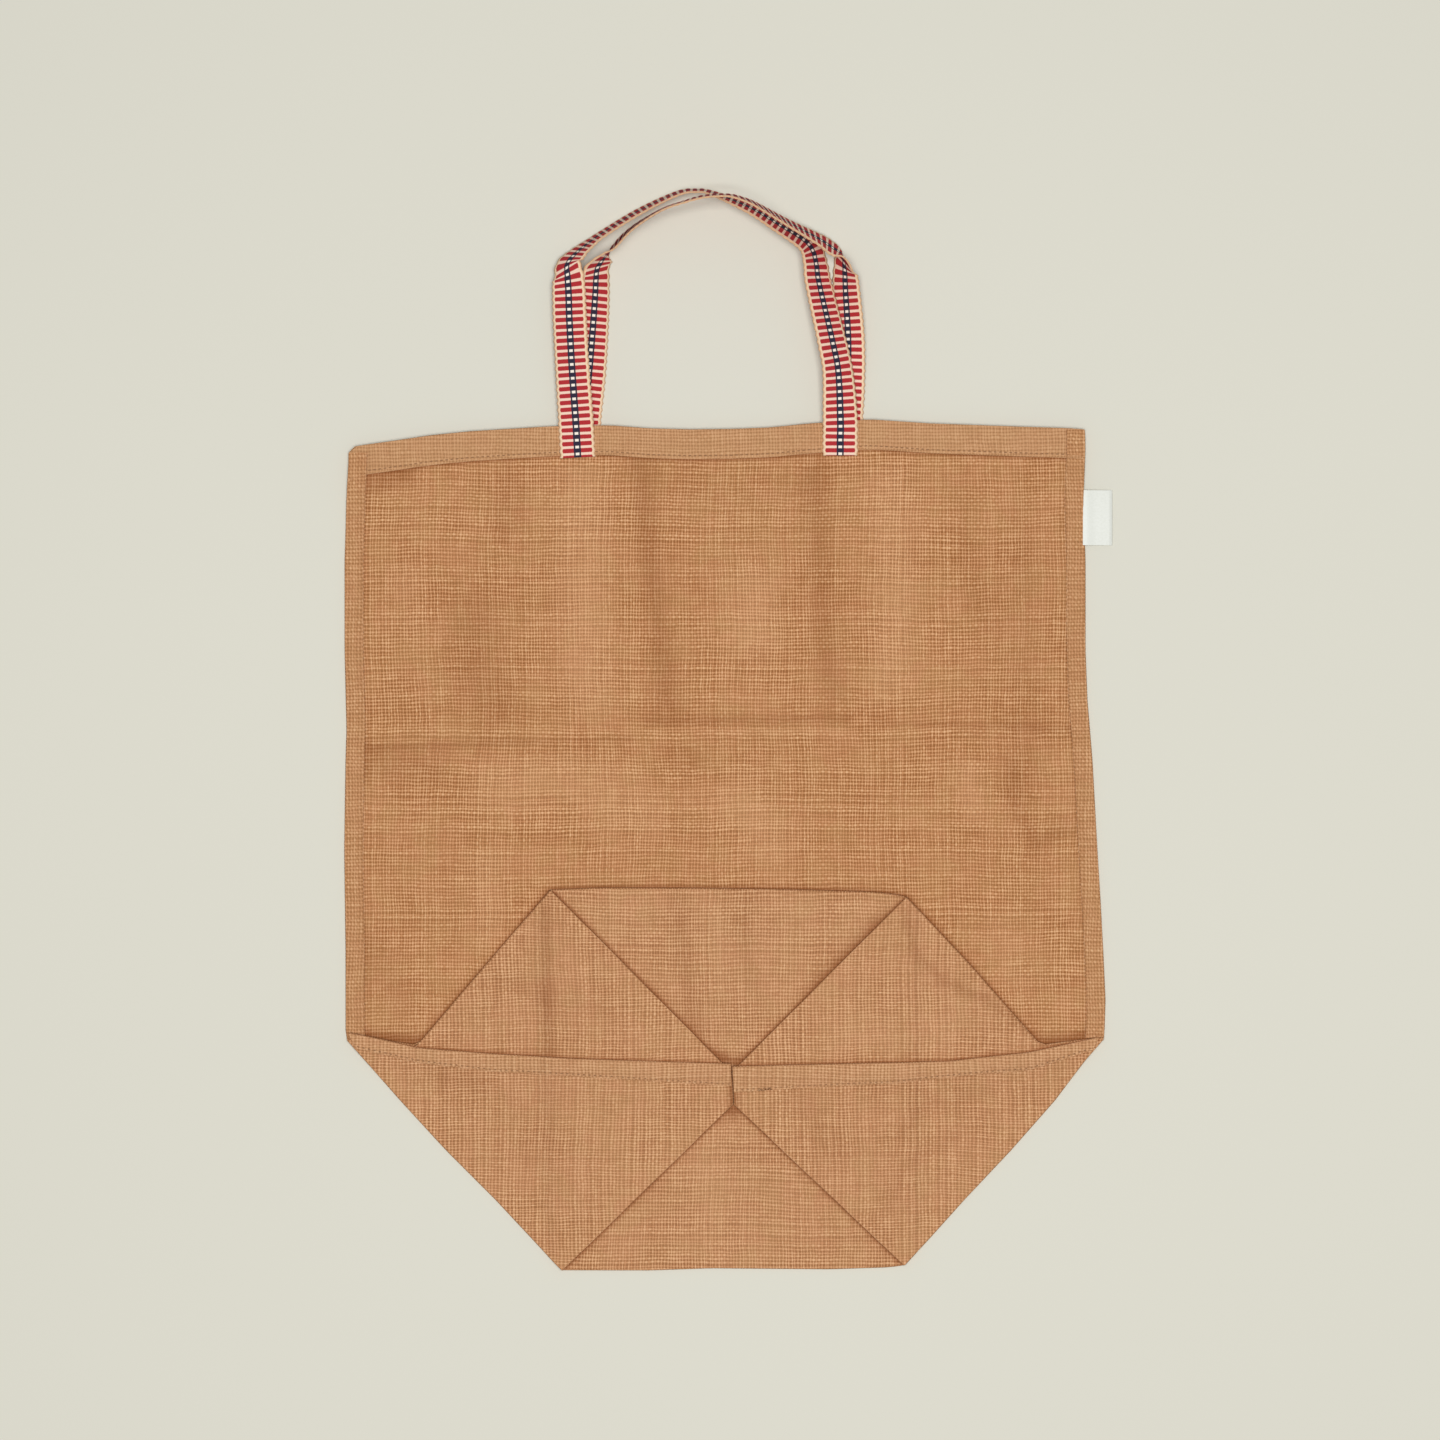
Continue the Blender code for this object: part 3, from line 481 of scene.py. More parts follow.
class Shader:
    """A material's node tree, with one function that adds a node with its settings and links."""

    def __init__(self, name):
        self.material = bpy.data.materials.new(name)
        self.material.use_nodes = True
        self.tree = self.material.node_tree
        self.surface = self.tree.nodes["Principled BSDF"]

    def add(self, kind, *values, output=None, **settings):
        """Adds a node with its settings and links. A second word in kind is its operation."""
        kind, _, operation = kind.partition(" ")
        usual, places, result = USUAL.get(kind, ({}, None, 0))
        if operation:
            settings["operation"] = operation
        made = self.tree.nodes.new("ShaderNode" + kind)
        for key, value in {**usual, **settings}.items():
            setattr(made, key, value)
        for key, value in zip(places or range(len(values)), values):
            if isinstance(value, bpy.types.NodeSocket):
                self.tree.links.new(value, made.inputs[key])
            else:
                made.inputs[key].default_value = value
        return made.outputs[result if output is None else output]

    def link(self, value, socket):
        self.tree.links.new(value, self.surface.inputs[socket])


def open_weave():
    """Dyed open plain weave of loosely spun threads. The eye sees separate round threads that pass over and
    under each other, slightly wavy and uneven, with the next layer of cloth showing through the holes.
    Besides the bump, the threads' shaded sides and lit crowns are painted into the colour, and so is the
    shade in the holes."""
    s = Shader("dyed_open_weave_cotton")
    uv = s.add("UVMap", uv_map="threads")
    layer = s.add("Attribute", attribute_name="layer")
    u, v = s.add("SeparateXYZ", uv).node.outputs[:2]
    place = s.add("CombineXYZ", u, v, s.add("Math MULTIPLY", layer, 0.37))
    # The threads wander: slowly over a hand's breadth, and quickly over a few threads.
    slow = s.add("TexNoise", place, 11.0, 1.0, output="Color")
    quick = s.add("TexNoise", place, 110.0, 2.0, output="Color")
    slow, quick = s.add("SeparateXYZ", slow).node, s.add("SeparateXYZ", quick).node
    wander_u = s.add(
        "Math ADD",
        s.add("Math MULTIPLY", s.add("Math SUBTRACT", slow.outputs[0], 0.5), 6.5 * MM),
        s.add("Math MULTIPLY", s.add("Math SUBTRACT", quick.outputs[0], 0.5), 1.1 * MM),
    )
    wander_v = s.add(
        "Math ADD",
        s.add("Math MULTIPLY", s.add("Math SUBTRACT", slow.outputs[1], 0.5), 6.5 * MM),
        s.add("Math MULTIPLY", s.add("Math SUBTRACT", quick.outputs[1], 0.5), 1.1 * MM),
    )
    a = s.add("Math DIVIDE", s.add("Math ADD", u, wander_u), WARP_PITCH * MM)
    b = s.add("Math DIVIDE", s.add("Math ADD", v, wander_v), WEFT_PITCH * MM)
    cell_a, cell_b = s.add("Math FLOOR", a), s.add("Math FLOOR", b)
    # Every thread has a place and a tone of its own.
    own_a = s.add("TexWhiteNoise", s.add("Math ADD", cell_a, s.add("Math MULTIPLY", layer, 61.7)))
    own_b = s.add("TexWhiteNoise", s.add("Math ADD", cell_b, s.add("Math MULTIPLY", layer, 37.3)))
    off_a = s.add(
        "Math SUBTRACT", s.add("Math SUBTRACT", a, cell_a), s.add("Math MULTIPLY_ADD", own_a, 0.34, 0.33)
    )
    off_b = s.add(
        "Math SUBTRACT", s.add("Math SUBTRACT", b, cell_b), s.add("Math MULTIPLY_ADD", own_b, 0.34, 0.33)
    )
    odd = s.add("Math FLOORED_MODULO", s.add("Math ADD", cell_a, cell_b), 2.0)
    way = s.add("Math SUBTRACT", s.add("Math MULTIPLY", odd, 2.0), 1.0)
    # Each thread has its own thickness and shade, and is thick and thin along its length.
    warp_slub = s.add(
        "TexNoise",
        s.add("CombineXYZ", s.add("Math MULTIPLY", cell_a, 0.731), s.add("Math MULTIPLY", v, 90.0), layer),
        1.0,
        1.0,
    )
    weft_slub = s.add(
        "TexNoise",
        s.add("CombineXYZ", s.add("Math MULTIPLY", u, 90.0), s.add("Math MULTIPLY", cell_b, 0.731), layer),
        1.0,
        1.0,
    )
    dense = s.add("MapRange", layer, HEM_PLY - 0.6, HEM_PLY - 0.4, 0.0, 0.04)
    warp_half = s.add("Math ADD", s.add("Math MULTIPLY_ADD", warp_slub, 0.2, 0.14), dense)
    weft_half = s.add("Math ADD", s.add("Math MULTIPLY_ADD", weft_slub, 0.2, 0.19), dense)
    warp_in = s.add("Math DIVIDE", s.add("Math ABSOLUTE", off_a), warp_half)
    weft_in = s.add("Math DIVIDE", s.add("Math ABSOLUTE", off_b), weft_half)
    warp_on, weft_on = s.add("Math LESS_THAN", warp_in, 1.0), s.add("Math LESS_THAN", weft_in, 1.0)
    warp_round = s.add(
        "Math SQRT",
        s.add("Math MAXIMUM", s.add("Math SUBTRACT", 1.0, s.add("Math MULTIPLY", warp_in, warp_in)), 0.0),
    )
    weft_round = s.add(
        "Math SQRT",
        s.add("Math MAXIMUM", s.add("Math SUBTRACT", 1.0, s.add("Math MULTIPLY", weft_in, weft_in)), 0.0),
    )
    warp_rise = s.add("Math MULTIPLY", way, s.add("Math COSINE", s.add("Math MULTIPLY", off_b, math.pi)))
    weft_rise = s.add(
        "Math MULTIPLY",
        s.add("Math MULTIPLY", way, -1.0),
        s.add("Math COSINE", s.add("Math MULTIPLY", off_a, math.pi)),
    )
    warp_height = s.add(
        "Math MULTIPLY",
        warp_on,
        s.add(
            "Math ADD",
            s.add("Math MULTIPLY_ADD", warp_rise, 0.18, 0.36),
            s.add("Math MULTIPLY", warp_round, 0.46),
        ),
    )
    weft_height = s.add(
        "Math MULTIPLY",
        weft_on,
        s.add(
            "Math ADD",
            s.add("Math MULTIPLY_ADD", weft_rise, 0.18, 0.36),
            s.add("Math MULTIPLY", weft_round, 0.46),
        ),
    )
    height = s.add("Math MAXIMUM", warp_height, weft_height)
    covered = s.add("Math MAXIMUM", warp_on, weft_on)
    top = s.add("Math GREATER_THAN", warp_height, weft_height)
    slub = s.add(
        "Math ADD",
        s.add("Math MULTIPLY", top, warp_slub),
        s.add("Math MULTIPLY", s.add("Math SUBTRACT", 1.0, top), weft_slub),
    )
    own = s.add(
        "Math ADD",
        s.add("Math MULTIPLY", top, own_a),
        s.add("Math MULTIPLY", s.add("Math SUBTRACT", 1.0, top), own_b),
    )
    shade = s.add("Math ADD", s.add("Math MULTIPLY", slub, 0.68), s.add("Math MULTIPLY", own, 0.32))
    patch, tint = s.add("TexNoise", place, 48.0, 2.0), s.add("TexNoise", place, 75.0, 1.0)
    # Painted shading of the round threads: darker colours for their shaded sides, lighter ones for their lit
    # crowns, varied thread by thread.
    shaded_side = s.add("Mix", s.add("MapRange", shade, 0.2, 0.8), linear("995b2c"), linear("af7138"))
    lit_crown = s.add("Mix", s.add("MapRange", shade, 0.2, 0.8), linear("d0976a"), linear("edbe92"))
    # Each gap between threads also shows as a faint line of painted shade where it passes under the crossing
    # thread.
    lattice = s.add("Math MULTIPLY", warp_round, weft_round)
    painted_shading = s.add("Math ADD", s.add("Math MULTIPLY", height, 0.68), s.add("Math MULTIPLY", lattice, 0.32))
    colour = s.add("Mix", s.add("MapRange", painted_shading, 0.2, 0.92), shaded_side, lit_crown)
    # The holes are painted in shade, as of loose fibres and the layer beneath lying in shadow, less so where
    # that layer happens to fill them and in the hems, seam allowances and fins. Beside each fold a painted
    # shade darkens the cloth.
    filled = s.add(
        "Math MAXIMUM",
        s.add("MapRange", patch, 0.3, 0.7, 0.15, 0.85),
        s.add("MapRange", layer, HEM_PLY - 0.6, HEM_PLY - 0.4, 0.0, 0.7),
    )
    colour = s.add("Mix", covered, s.add("Mix", filled, linear("9b6034"), linear("b37c4b")), colour)
    # In patches the weave and its painted shade nearly fade into an even tan, and the dye takes redder or
    # yellower.
    even_tan = s.add("Mix", s.add("MapRange", tint, 0.35, 0.65), linear("c68c63"), linear("c09061"))
    colour = s.add("Mix", s.add("MapRange", patch, 0.3, 0.72, 0.14, 0.42), colour, even_tan)
    # Where hem and seam plies lie on each other, less shade shows through, so the weave and its painted shade
    # fade toward a plain tan.
    plied = s.add(
        "Math SUBTRACT",
        s.add("MapRange", layer, HEM_PLY - 0.6, HEM_PLY - 0.4, 0.0, 0.45),
        s.add("MapRange", layer, SEAM_PLY - 0.6, SEAM_PLY - 0.4, 0.0, 0.25),
    )
    colour = s.add("Mix", plied, colour, linear("be936b"))
    # The folded base and its ears lie many layers deep, so less shade shows through and they look paler.
    deeper = s.add(
        "Math SUBTRACT",
        s.add("MapRange", layer, HEM_PLY - 0.6, HEM_PLY - 0.4, 0.0, 0.06),
        s.add("MapRange", layer, FIN_PLY - 0.6, FIN_PLY - 0.4, 0.0, 0.06),
    )
    colour = s.add(
        "Mix",
        s.add("Math SUBTRACT", s.add("MapRange", layer, BASE_PLY - 0.6, BASE_PLY - 0.4, 0.0, 0.07), deeper),
        colour,
        linear("e0bba0"),
    )
    # The seam allowances are overlocked with a slanting thread of the same dye.
    slant = s.add(
        "Math ADD",
        s.add("Math MULTIPLY", u, 3300.0),
        s.add("Math ADD", s.add("Math MULTIPLY", v, 2100.0), s.add("Math MULTIPLY", quick.outputs[2], 9.0)),
    )
    amount = s.add(
        "Math SUBTRACT",
        s.add("MapRange", layer, SEAM_PLY - 0.6, SEAM_PLY - 0.4),
        s.add("MapRange", layer, FIN_PLY - 0.6, FIN_PLY - 0.4, 0.0, 0.65),
    )
    lock = s.add(
        "Math MULTIPLY", s.add("MapRange", s.add("Math SINE", slant), -0.3, 0.9, 0.0, 0.34), amount
    )
    colour = s.add("Mix", lock, colour, linear("a06f45"))
    # Painted shade beside the folds and in the troughs darkens the colour towards a deep brown, and painted
    # light on the low ridges lightens it.
    painted_light_and_shade = s.add("Attribute", attribute_name="painted_light_and_shade")
    colour = s.add("Mix", s.add("MapRange", painted_light_and_shade, 0.0, 1.0, 0.0, 0.72), colour, linear("86481f"))
    colour = s.add("Mix", s.add("MapRange", painted_light_and_shade, 0.0, -0.5, 0.0, 0.34), colour, linear("e4b084"))
    s.link(colour, "Base Color")
    s.link(s.add("Math MULTIPLY_ADD", covered, 0.2, 0.8), "Alpha")
    s.surface.inputs["Roughness"].default_value = 0.92
    s.surface.inputs["Specular IOR Level"].default_value = 0.1
    bump = s.add("Bump", 0.6, 0.35 * MM, height)
    s.link(bump, "Normal")
    return s.material


def woven_tape():
    """Ribbed cotton webbing: red bars and cream gaps across it, a dark middle line with a pale dot in each
    gap, and scalloped cream selvedges."""
    s = Shader("ribbed_cotton_webbing")
    uv = s.add("UVMap", uv_map="threads")
    u, v = s.add("SeparateXYZ", uv).node.outputs[:2]
    across = s.add("Math ABSOLUTE", s.add("Math MULTIPLY", u, 1.0 / (TAPE_WIDTH * MM)))
    along = s.add("Math DIVIDE", v, TAPE_ROW * MM)
    fray = s.add(
        "TexNoise",
        s.add("CombineXYZ", s.add("Math MULTIPLY", u, 2600.0), s.add("Math MULTIPLY", v, 900.0)),
        1.0,
        2.0,
    )
    wobble = s.add("Math MULTIPLY", s.add("Math SUBTRACT", fray, 0.5), 0.1)
    phase = s.add("Math ADD", s.add("Math FRACT", along), wobble)
    bar = s.add(
        "Math MULTIPLY",
        s.add("MapRange", phase, 0.14, 0.23),
        s.add("MapRange", phase, 0.77, 0.86, 1.0, 0.0),
    )
    body = s.add("Math MULTIPLY", bar, s.add("MapRange", across, 0.405, 0.425, 1.0, 0.0))
    middle = s.add("MapRange", across, 0.095, 0.11, 1.0, 0.0)
    dot = s.add(
        "Math MULTIPLY", s.add("MapRange", across, 0.045, 0.062, 1.0, 0.0), s.add("Math SUBTRACT", 1.0, bar)
    )
    grain = s.add(
        "TexNoise",
        s.add("CombineXYZ", s.add("Math MULTIPLY", u, 3200.0), s.add("Math MULTIPLY", v, 3200.0)),
        1.0,
        2.0,
    )
    cream = s.add("Mix", s.add("MapRange", grain, 0.3, 0.7), linear("e9c7a0"), linear("fbdfc0"))
    red = s.add("Mix", s.add("MapRange", grain, 0.3, 0.7), linear("a3222b"), linear("c23a3d"))
    navy = s.add("Mix", s.add("MapRange", grain, 0.3, 0.7), linear("241e30"), linear("3c3549"))
    ground = s.add("Mix", s.add("MapRange", across, 0.4, 0.42, 0.7, 0.0), cream, linear("f6d6c6"))
    colour = s.add("Mix", body, ground, red)
    colour = s.add("Mix", middle, colour, navy)
    colour = s.add("Mix", dot, colour, linear("fdf3e4"))
    # The outer rim of each selvedge is painted a tan shade, as of the cream loops in shadow.
    colour = s.add("Mix", s.add("MapRange", across, 0.455, 0.49, 0.0, 0.55), colour, linear("c98f5c"))
    s.link(colour, "Base Color")
    s.surface.inputs["Roughness"].default_value = 0.9
    s.surface.inputs["Specular IOR Level"].default_value = 0.2
    threads = s.add("Math SINE", s.add("Math MULTIPLY", u, 2 * math.pi / (0.62 * MM)))
    relief = s.add("Math ADD", s.add("Math MULTIPLY", threads, 0.35), grain)
    bump = s.add("Bump", 0.5, 0.15 * MM, relief)
    s.link(bump, "Normal")
    return s.material


def satin():
    """Smooth off-white satin ribbon, woven so finely that only a soft gloss along it shows."""
    s = Shader("woven_satin_ribbon")
    uv = s.add("UVMap", uv_map="threads")
    v = s.add("SeparateXYZ", uv, output=1)
    ribs = s.add("Math SINE", s.add("Math MULTIPLY", v, 2 * math.pi / (0.5 * MM)))
    fibre = s.add("TexNoise", uv, 900.0, 2.0)
    s.link(
        s.add("Mix", s.add("MapRange", fibre, 0.3, 0.7), linear("dfe1d8"), linear("e4e6de")), "Base Color"
    )
    s.surface.inputs["Roughness"].default_value = 0.38
    s.surface.inputs["Sheen Weight"].default_value = 0.3
    bump = s.add("Bump", 0.12, 0.05 * MM, s.add("Math ADD", ribs, fibre))
    s.link(bump, "Normal")
    return s.material


def sewing_thread():
    """Cotton sewing thread, pulled down into the cloth, painted darker than its own dye as shade where it
    sinks in.
    """
    s = Shader("cotton_sewing_thread")
    position = s.add("TexCoord")
    s.link(
        s.add("Mix", s.add("TexNoise", position, 700.0, 2.0), linear("85593a"), linear("a7794f")),
        "Base Color",
    )
    s.surface.inputs["Roughness"].default_value = 0.8
    return s.material


def build_body(finish):
    cloth = Cloth()
    crease = [(x, float(crease_y(x))) for x in np.linspace(195.8, -197.4, 41)]
    full = closed_run(LEFT_SIDE, MOUTH, RIGHT_SIDE, RIGHT_DIAGONAL, BOTTOM, LEFT_DIAGONAL, step=7.0)
    front = closed_run(LEFT_SIDE, MOUTH, RIGHT_SIDE, crease, step=7.0)
    strip = closed_run(LEFT_FOLD, TOP_EDGE, RIGHT_FOLD, crease, step=7.0)
    panel = closed_run(TOP_EDGE, [TOP_RIGHT, BASE_RIGHT], BOTTOM, [BASE_LEFT, TOP_LEFT], step=6.0)
    ears = (
        (TOP_LEFT, LEFT_TIP, BASE_LEFT, LEFT_FOLD, LEFT_DIAGONAL),
        (TOP_RIGHT, RIGHT_TIP, BASE_RIGHT, RIGHT_FOLD[::-1], RIGHT_DIAGONAL[::-1]),
    )
    folds = (*LEFT_FOLD, *TOP_EDGE[1:-1], *RIGHT_FOLD)
    hem_edge = [(x, y - HEM_DEPTH) for x, y in MOUTH[2:]][::-1]
    seams = [
        [(x + way * FIN_WIDTH, y) for x, y in run]
        for run, way in ((LEFT_SIDE, 1.0), (RIGHT_SIDE, -1.0))
    ]
    cloth.layer(full, 8.0, level_back, 0)
    # The steps paint shadow beside the edges of the layers that lie above, and the troughs paint shade along
    # soft lines, the seams too.
    seam_troughs = tuple((seam, 1.3, 0.3, 0.40) for seam in seams)
    cloth.layer(front, 3.6, level_front, 1, steps=((folds, 1.0, 1.9), (hem_edge, 0.9, 1.3)),
                troughs=(*FRONT_TROUGHS, *seam_troughs))
    cloth.layer(strip, 5.0, level_strip, 2)
    left_ear = (TOP_LEFT, *LEFT_TIP, BASE_LEFT)
    right_ear = (TOP_RIGHT, *RIGHT_TIP, BASE_RIGHT)
    cloth.layer(panel, 3.6, level_base, BASE_PLY, steps=((left_ear, 1.0, 1.6), (right_ear[::-1], 1.0, 1.6)),
                troughs=BASE_TROUGHS)
    for i, (corner, tip, base, fold, diagonal) in enumerate(ears):
        free = (LEFT_FIN, RIGHT_FIN)[i][0]
        inner = closed_run([corner, tip[0]], tip, [tip[-1], base], [base, corner], step=6.0)
        outer = closed_run(fold, [corner, tip[0]], tip, [tip[-1], base], diagonal, step=6.0)
        cloth.layer(inner, 5.0, level_inner_ear, EAR_PLY + i)
        cloth.layer(outer, 3.6, level_outer_ear, EAR_PLY + 2 + i, turned=True,
                    steps=((free, 1.0, 1.5), (tip, 0.9, 1.1)), troughs=EAR_TROUGHS)
    edges = (
        (LEFT_SIDE, level_back, level_front, 0.5), (RIGHT_SIDE, level_back, level_front, 0.5),
        (LEFT_DIAGONAL, level_back, level_outer_ear, 0.5), (RIGHT_DIAGONAL, level_back, level_outer_ear, 0.5),
        (BOTTOM, level_back, level_base, 0.5), (TOP_EDGE, level_strip, level_base, 0.7),
        (LEFT_FOLD, level_strip, level_outer_ear, 0.7), (RIGHT_FOLD, level_strip, level_outer_ear, 0.7),
        (crease, level_front, level_strip, 0.5),
        ((BASE_LEFT, TOP_LEFT), level_base, level_inner_ear, 0.4),
        ((TOP_RIGHT, BASE_RIGHT), level_base, level_inner_ear, 0.4),
    )
    for run, below, above, bulge in edges:
        cloth.turned_edge(run, below, above, bulge, EDGE_PLY)
    for (corner, tip, base, *_), side in zip(ears, (1.0, -1.0)):
        for run in ((corner, tip[0]), tip, (tip[-1], base)):
            cloth.turned_edge(run, level_inner_ear, level_outer_ear, 0.45 * side, EDGE_PLY + 1)
    hems_and_fins(cloth, seam_troughs)
    made = cloth.object("produce_bag_cloth", finish)
    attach(made, "root")
    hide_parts("bag_body")
    return made


def level_fin(free, rise):
    """Cloth pressed flat on the outer ears: full height at its free edge, and none at its stitches."""
    free = np.array(sorted(free))

    def level(x, y):
        depth = np.interp(x, free[:, 0], free[:, 1]) - y
        return level_outer_ear(x, y) + 0.35 + rise * (1.0 - smooth(5.0, 11.0, depth))

    return level


def hems_and_fins(cloth, seam_troughs):
    """The turned cloth of the two hems and of the seam fins, ply on ply."""
    top = resample(MOUTH, 6.0)
    lower = top[::-1] - (0.0, HEM_DEPTH)
    lower[0][0], lower[-1][0] = HEM_ENDS
    band = np.vstack([top, lower])
    hems = ((level_front, (0.45, HEM_RISE), HEM_PLY), (level_back, (-0.35, 0.45), HEM_PLY + 2))
    for level, plies, number in hems:
        for i, ply in enumerate(plies):
            cloth.layer(
                band, 5.0, raised(level, ply), number + i, troughs=seam_troughs if number == HEM_PLY else ()
            )
        cloth.turned_edge(lower, level, raised(level, plies[1]), 0.35, HEM_PLY)
        cloth.turned_edge(MOUTH, raised(level, -0.1), raised(level, plies[1]), 0.3, HEM_PLY)
    for run, way in ((LEFT_SIDE, 1.0), (RIGHT_SIDE, -1.0)):
        free = resample(run, 6.0)
        stitched = (free + (way * FIN_WIDTH, 0.0))[::-1]
        outline = np.vstack([free, stitched])
        # A faint painted shade lies along the seam ply's stitched edge.
        cloth.layer(outline, 4.0, raised(level_outside, 0.35), SEAM_PLY, steps=((stitched, 0.25, 1.1),))
        cloth.layer(outline, 6.0, raised(level_back, 0.5 * PITCH), SEAM_PLY + 1)
    for free, stitched in (LEFT_FIN, RIGHT_FIN):
        outline = np.vstack([resample(free, 4.0), resample(stitched[::-1], 4.0)])
        for i, rise in enumerate((0.6, 1.2, FIN_RISE)):
            cloth.layer(outline, 3.0, level_fin(free, rise), FIN_PLY + i, turned=True)
        cloth.turned_edge(free, level_outer_ear, level_fin(free, FIN_RISE), 0.6, FIN_PLY)


def smooth_rows(table, step):
    """The table's rows joined by a smooth curve and cut at an even step along it."""
    rows = np.array(table, float)
    padded = np.vstack([2 * rows[0] - rows[1], rows, 2 * rows[-1] - rows[-2]])
    fine = []
    for i in range(1, len(padded) - 2):
        a, b, c, d = padded[i - 1 : i + 3]
        for t in np.linspace(0.0, 1.0, 12, endpoint=False):
            square = (2 * a - 5 * b + 4 * c - d) * t**2
            cube = (3 * b - 3 * c + d - a) * t**3
            fine.append(0.5 * (2 * b + (c - a) * t + square + cube))
    fine.append(rows[-1])
    fine = np.array(fine)
    runs = np.concatenate([[0.0], np.cumsum(np.linalg.norm(np.diff(fine[:, :3], axis=0), axis=1))])
    places = np.linspace(0.0, runs[-1], round(runs[-1] / step) + 1)
    return np.stack([np.interp(places, runs, column) for column in fine.T], axis=1)


def tape_frames(table, step):
    """Centre, direction across the tape and face normal at even steps along it."""
    rows = smooth_rows(table, step)
    roll = np.radians(rows[:, 3])
    height = rows[:, 2] + TAPE_WIDTH / 2 * np.abs(np.sin(roll)) + TAPE_THICK / 2 * np.abs(np.cos(roll))
    centre = np.column_stack([rows[:, 0], rows[:, 1], height])
    tangent = np.gradient(centre, axis=0)
    tangent /= np.linalg.norm(tangent, axis=1)[:, None]
    flat = np.column_stack([tangent[:, 1], -tangent[:, 0], np.zeros(len(rows))])
    flat /= np.linalg.norm(flat, axis=1)[:, None]
    up = np.cross(flat, tangent)
    turn = np.radians(rows[:, 4])
    turned_x = flat[:, 0] * np.cos(turn) - flat[:, 1] * np.sin(turn)
    turned_y = flat[:, 0] * np.sin(turn) + flat[:, 1] * np.cos(turn)
    flat = np.column_stack([turned_x, turned_y, flat[:, 2]])
    across = flat * np.cos(roll)[:, None] + up * np.sin(roll)[:, None]
    normal = np.cross(across, tangent)
    return centre, across, normal / np.linalg.norm(normal, axis=1)[:, None]


def build_handle(name, node, table, finish):
    """A ribbed tape: each row of weave is a low rib with a scallop at either selvedge."""
    step = TAPE_ROW / 4
    centre, across, normal = tape_frames(table, step)
    columns = np.linspace(-1.0, 1.0, 15)
    section = (
        [(c, 1.0 - 0.35 * abs(c) ** 6) for c in columns]
        + [(c, -1.0 + 0.35 * abs(c) ** 6) for c in columns[::-1]]
    )
    cloth = Cloth()
    points, threads = [], []
    for i, (c, a, n) in enumerate(zip(centre, across, normal)):
        rib = math.cos(math.pi / 2 * i)
        half = TAPE_WIDTH / 2 - 0.35 + 0.35 * rib
        thick = TAPE_THICK / 2 * (0.86 + 0.14 * rib)
        for part, side in section:
            points.append(c + a * half * part + n * thick * side)
            threads.append((TAPE_WIDTH / 2 * part, i * step + TAPE_ROW / 2))
    size = len(section)
    faces = [
        (i * size + j, i * size + (j + 1) % size, (i + 1) * size + (j + 1) % size, (i + 1) * size + j)
        for i in range(len(centre) - 1)
        for j in range(size)
    ]
    faces += [tuple(range(size))[::-1], tuple(range(len(points) - size, len(points)))]
    cloth.add(points, threads, 0, faces)
    made = cloth.object(name, finish)
    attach(made, "root")
    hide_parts(node)
    return made


def build_label(finish):
    """A plain ribbon tab, folded once and caught in the side seam."""
    cloth = Cloth()
    half = 0.34  # from the tab's middle to either face
    offsets = np.linspace(0.0, 1.0, 13)
    past = np.interp(offsets, np.linspace(0, 1, len(LABEL_SECTION)), [row[0] for row in LABEL_SECTION])
    heights = np.interp(offsets, np.linspace(0, 1, len(LABEL_SECTION)), [row[1] for row in LABEL_SECTION])
    ys = np.linspace(LABEL_TOP, LABEL_BOTTOM, 15)
    loop = [(p, h + half) for p, h in zip(past, heights)] + [(past[-1] + 0.3, heights[-1])]
    loop += [(p, h - half) for p, h in zip(past[::-1], heights[::-1])]
    points, threads = [], []
    for y in ys:
        for i, (p, h) in enumerate(loop):
            bend = 0.25 * math.sin(math.pi * (y - LABEL_BOTTOM) / (LABEL_TOP - LABEL_BOTTOM)) * p / 15.0
            points.append((float(side_x(RIGHT_SIDE, LABEL_TOP)) + p, y, h + bend))
            threads.append((i * 1.2, y))
    size = len(loop)
    faces = [
        (i * size + j, i * size + j + 1, (i + 1) * size + j + 1, (i + 1) * size + j)
        for i in range(len(ys) - 1)
        for j in range(size - 1)
    ]
    cloth.add(points, threads, 0, faces)
    made = cloth.object("side_label_tab", finish)
    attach(made, "root")
    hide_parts("label")
    return made


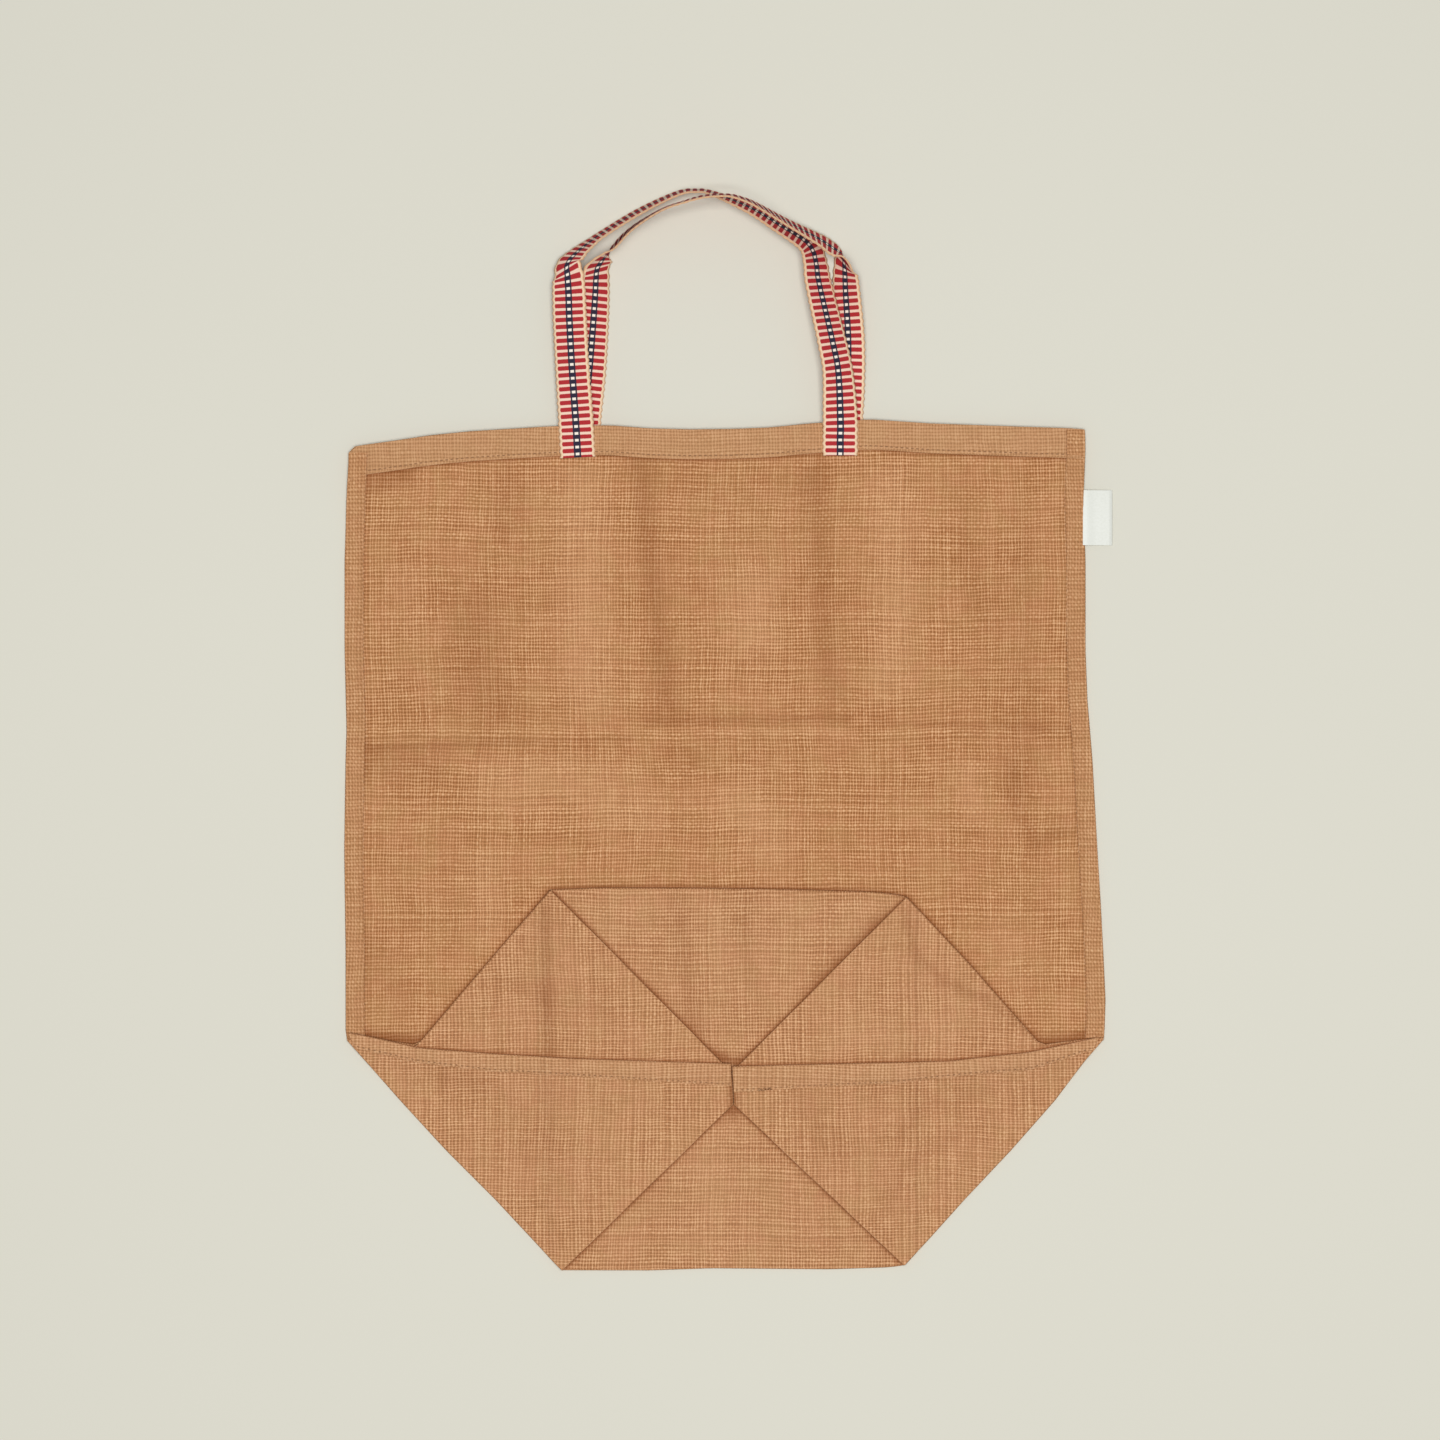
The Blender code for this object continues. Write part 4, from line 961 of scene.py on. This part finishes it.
def build_stitches(finish):
    """Rows of short stitches on the front hem, the side seams and the base fins, as one joined mesh."""
    rows = [([(x, y - HEM_DEPTH + 1.6) for x, y in MOUTH[2:-1]], raised(level_front, HEM_RISE), 2.7, 0.75)]
    for run, way in ((LEFT_SIDE, 1.0), (RIGHT_SIDE, -1.0)):
        rows.append(([(x + way * FIN_WIDTH, y) for x, y in run], raised(level_outside, 0.1), 3.4, 0.5))
    for free, stitched in (LEFT_FIN, RIGHT_FIN):
        rows.append(([(x, y + 1.2) for x, y in stitched], raised(level_fin(free, FIN_RISE), 0.12), 2.9, 0.6))
    outline = ((-1.0, 0.15, 0.0), (-0.6, 0.32, 0.22), (0.6, 0.32, 0.22), (1.0, 0.15, 0.0))
    points, faces = [], []
    for run, level, pitch, half in rows:
        line = resample(run, pitch)
        for start, end in zip(line[:-1], line[1:]):
            middle, along = (start + end) / 2, (end - start) / np.linalg.norm(end - start)
            side = np.array([-along[1], along[0]])
            z = float(level(*middle)) + 0.05
            first = len(points)
            for part, width, rise in outline:
                for across, up in ((-1, 0.0), (0, 1.0), (1, 0.0)):
                    place = middle + along * part * half + side * across * width
                    points.append((place[0] * MM, place[1] * MM, (z + rise * up) * MM))
            for i in range(3):
                for j in range(2):
                    k = first + 3 * i + j
                    faces.append((k, k + 3, k + 4, k + 1))
    mesh = bpy.data.meshes.new("stitch_rows")
    mesh.from_pydata(points, [], faces)
    mesh.polygons.foreach_set("use_smooth", [True] * len(mesh.polygons))
    mesh.materials.append(finish)
    made = bpy.data.objects.new("stitch_rows", mesh)
    bpy.context.scene.collection.objects.link(made)
    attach(made, "root")
    return made


def build_stage():
    """Plain pale floor, soft light from above and all round, and the view straight down."""
    mesh = bpy.data.meshes.new("floor")
    mesh.from_pydata(
        [(-3, -3, -0.0002), (3, -3, -0.0002), (3, 3, -0.0002), (-3, 3, -0.0002)], [], [(0, 1, 2, 3)]
    )
    floor = bpy.data.objects.new("floor", mesh)
    bpy.context.scene.collection.objects.link(floor)
    s = Shader("matt_pale_board")
    position = s.add("TexCoord")
    s.link(
        s.add("Mix", s.add("TexNoise", position, 3.0, 1.0), linear("dad8cb"), linear("dcdacd")),
        "Base Color",
    )
    s.surface.inputs["Roughness"].default_value = 0.9
    s.surface.inputs["Specular IOR Level"].default_value = 0.0
    mesh.materials.append(s.material)

    world = bpy.data.worlds.new("soft_room")
    world.use_nodes = True
    world.node_tree.nodes["Background"].inputs["Color"].default_value = (1.0, 1.0, 1.0, 1.0)
    world.node_tree.nodes["Background"].inputs["Strength"].default_value = 0.24
    bpy.context.scene.world = world

    light = bpy.data.lights.new("overhead_panel", "AREA")
    light.shape = "SQUARE"
    light.size = 1.1
    light.energy = 73.5
    panel = bpy.data.objects.new("overhead_panel", light)
    panel.location = (0.06, -0.02, 3.0)
    bpy.context.scene.collection.objects.link(panel)

    camera = bpy.data.cameras.new("overhead_camera")
    camera.sensor_width = SENSOR_WIDTH
    camera.lens = SENSOR_WIDTH * VIEW_HEIGHT / VIEW_WIDTH
    camera.clip_end = 20.0
    viewer = bpy.data.objects.new("overhead_camera", camera)
    viewer.location = (*VIEW_CENTRE, VIEW_HEIGHT)
    bpy.context.scene.collection.objects.link(viewer)
    bpy.context.scene.camera = viewer
    bpy.context.scene.view_settings.view_transform = "Standard"


build_stage()
build_body(open_weave())
tape = woven_tape()
build_handle("front_tape_handle", "handle_front", FRONT_HANDLE, tape)
build_handle("back_tape_handle", "handle_back", BACK_HANDLE, tape)
build_label(satin())
build_stitches(sewing_thread())
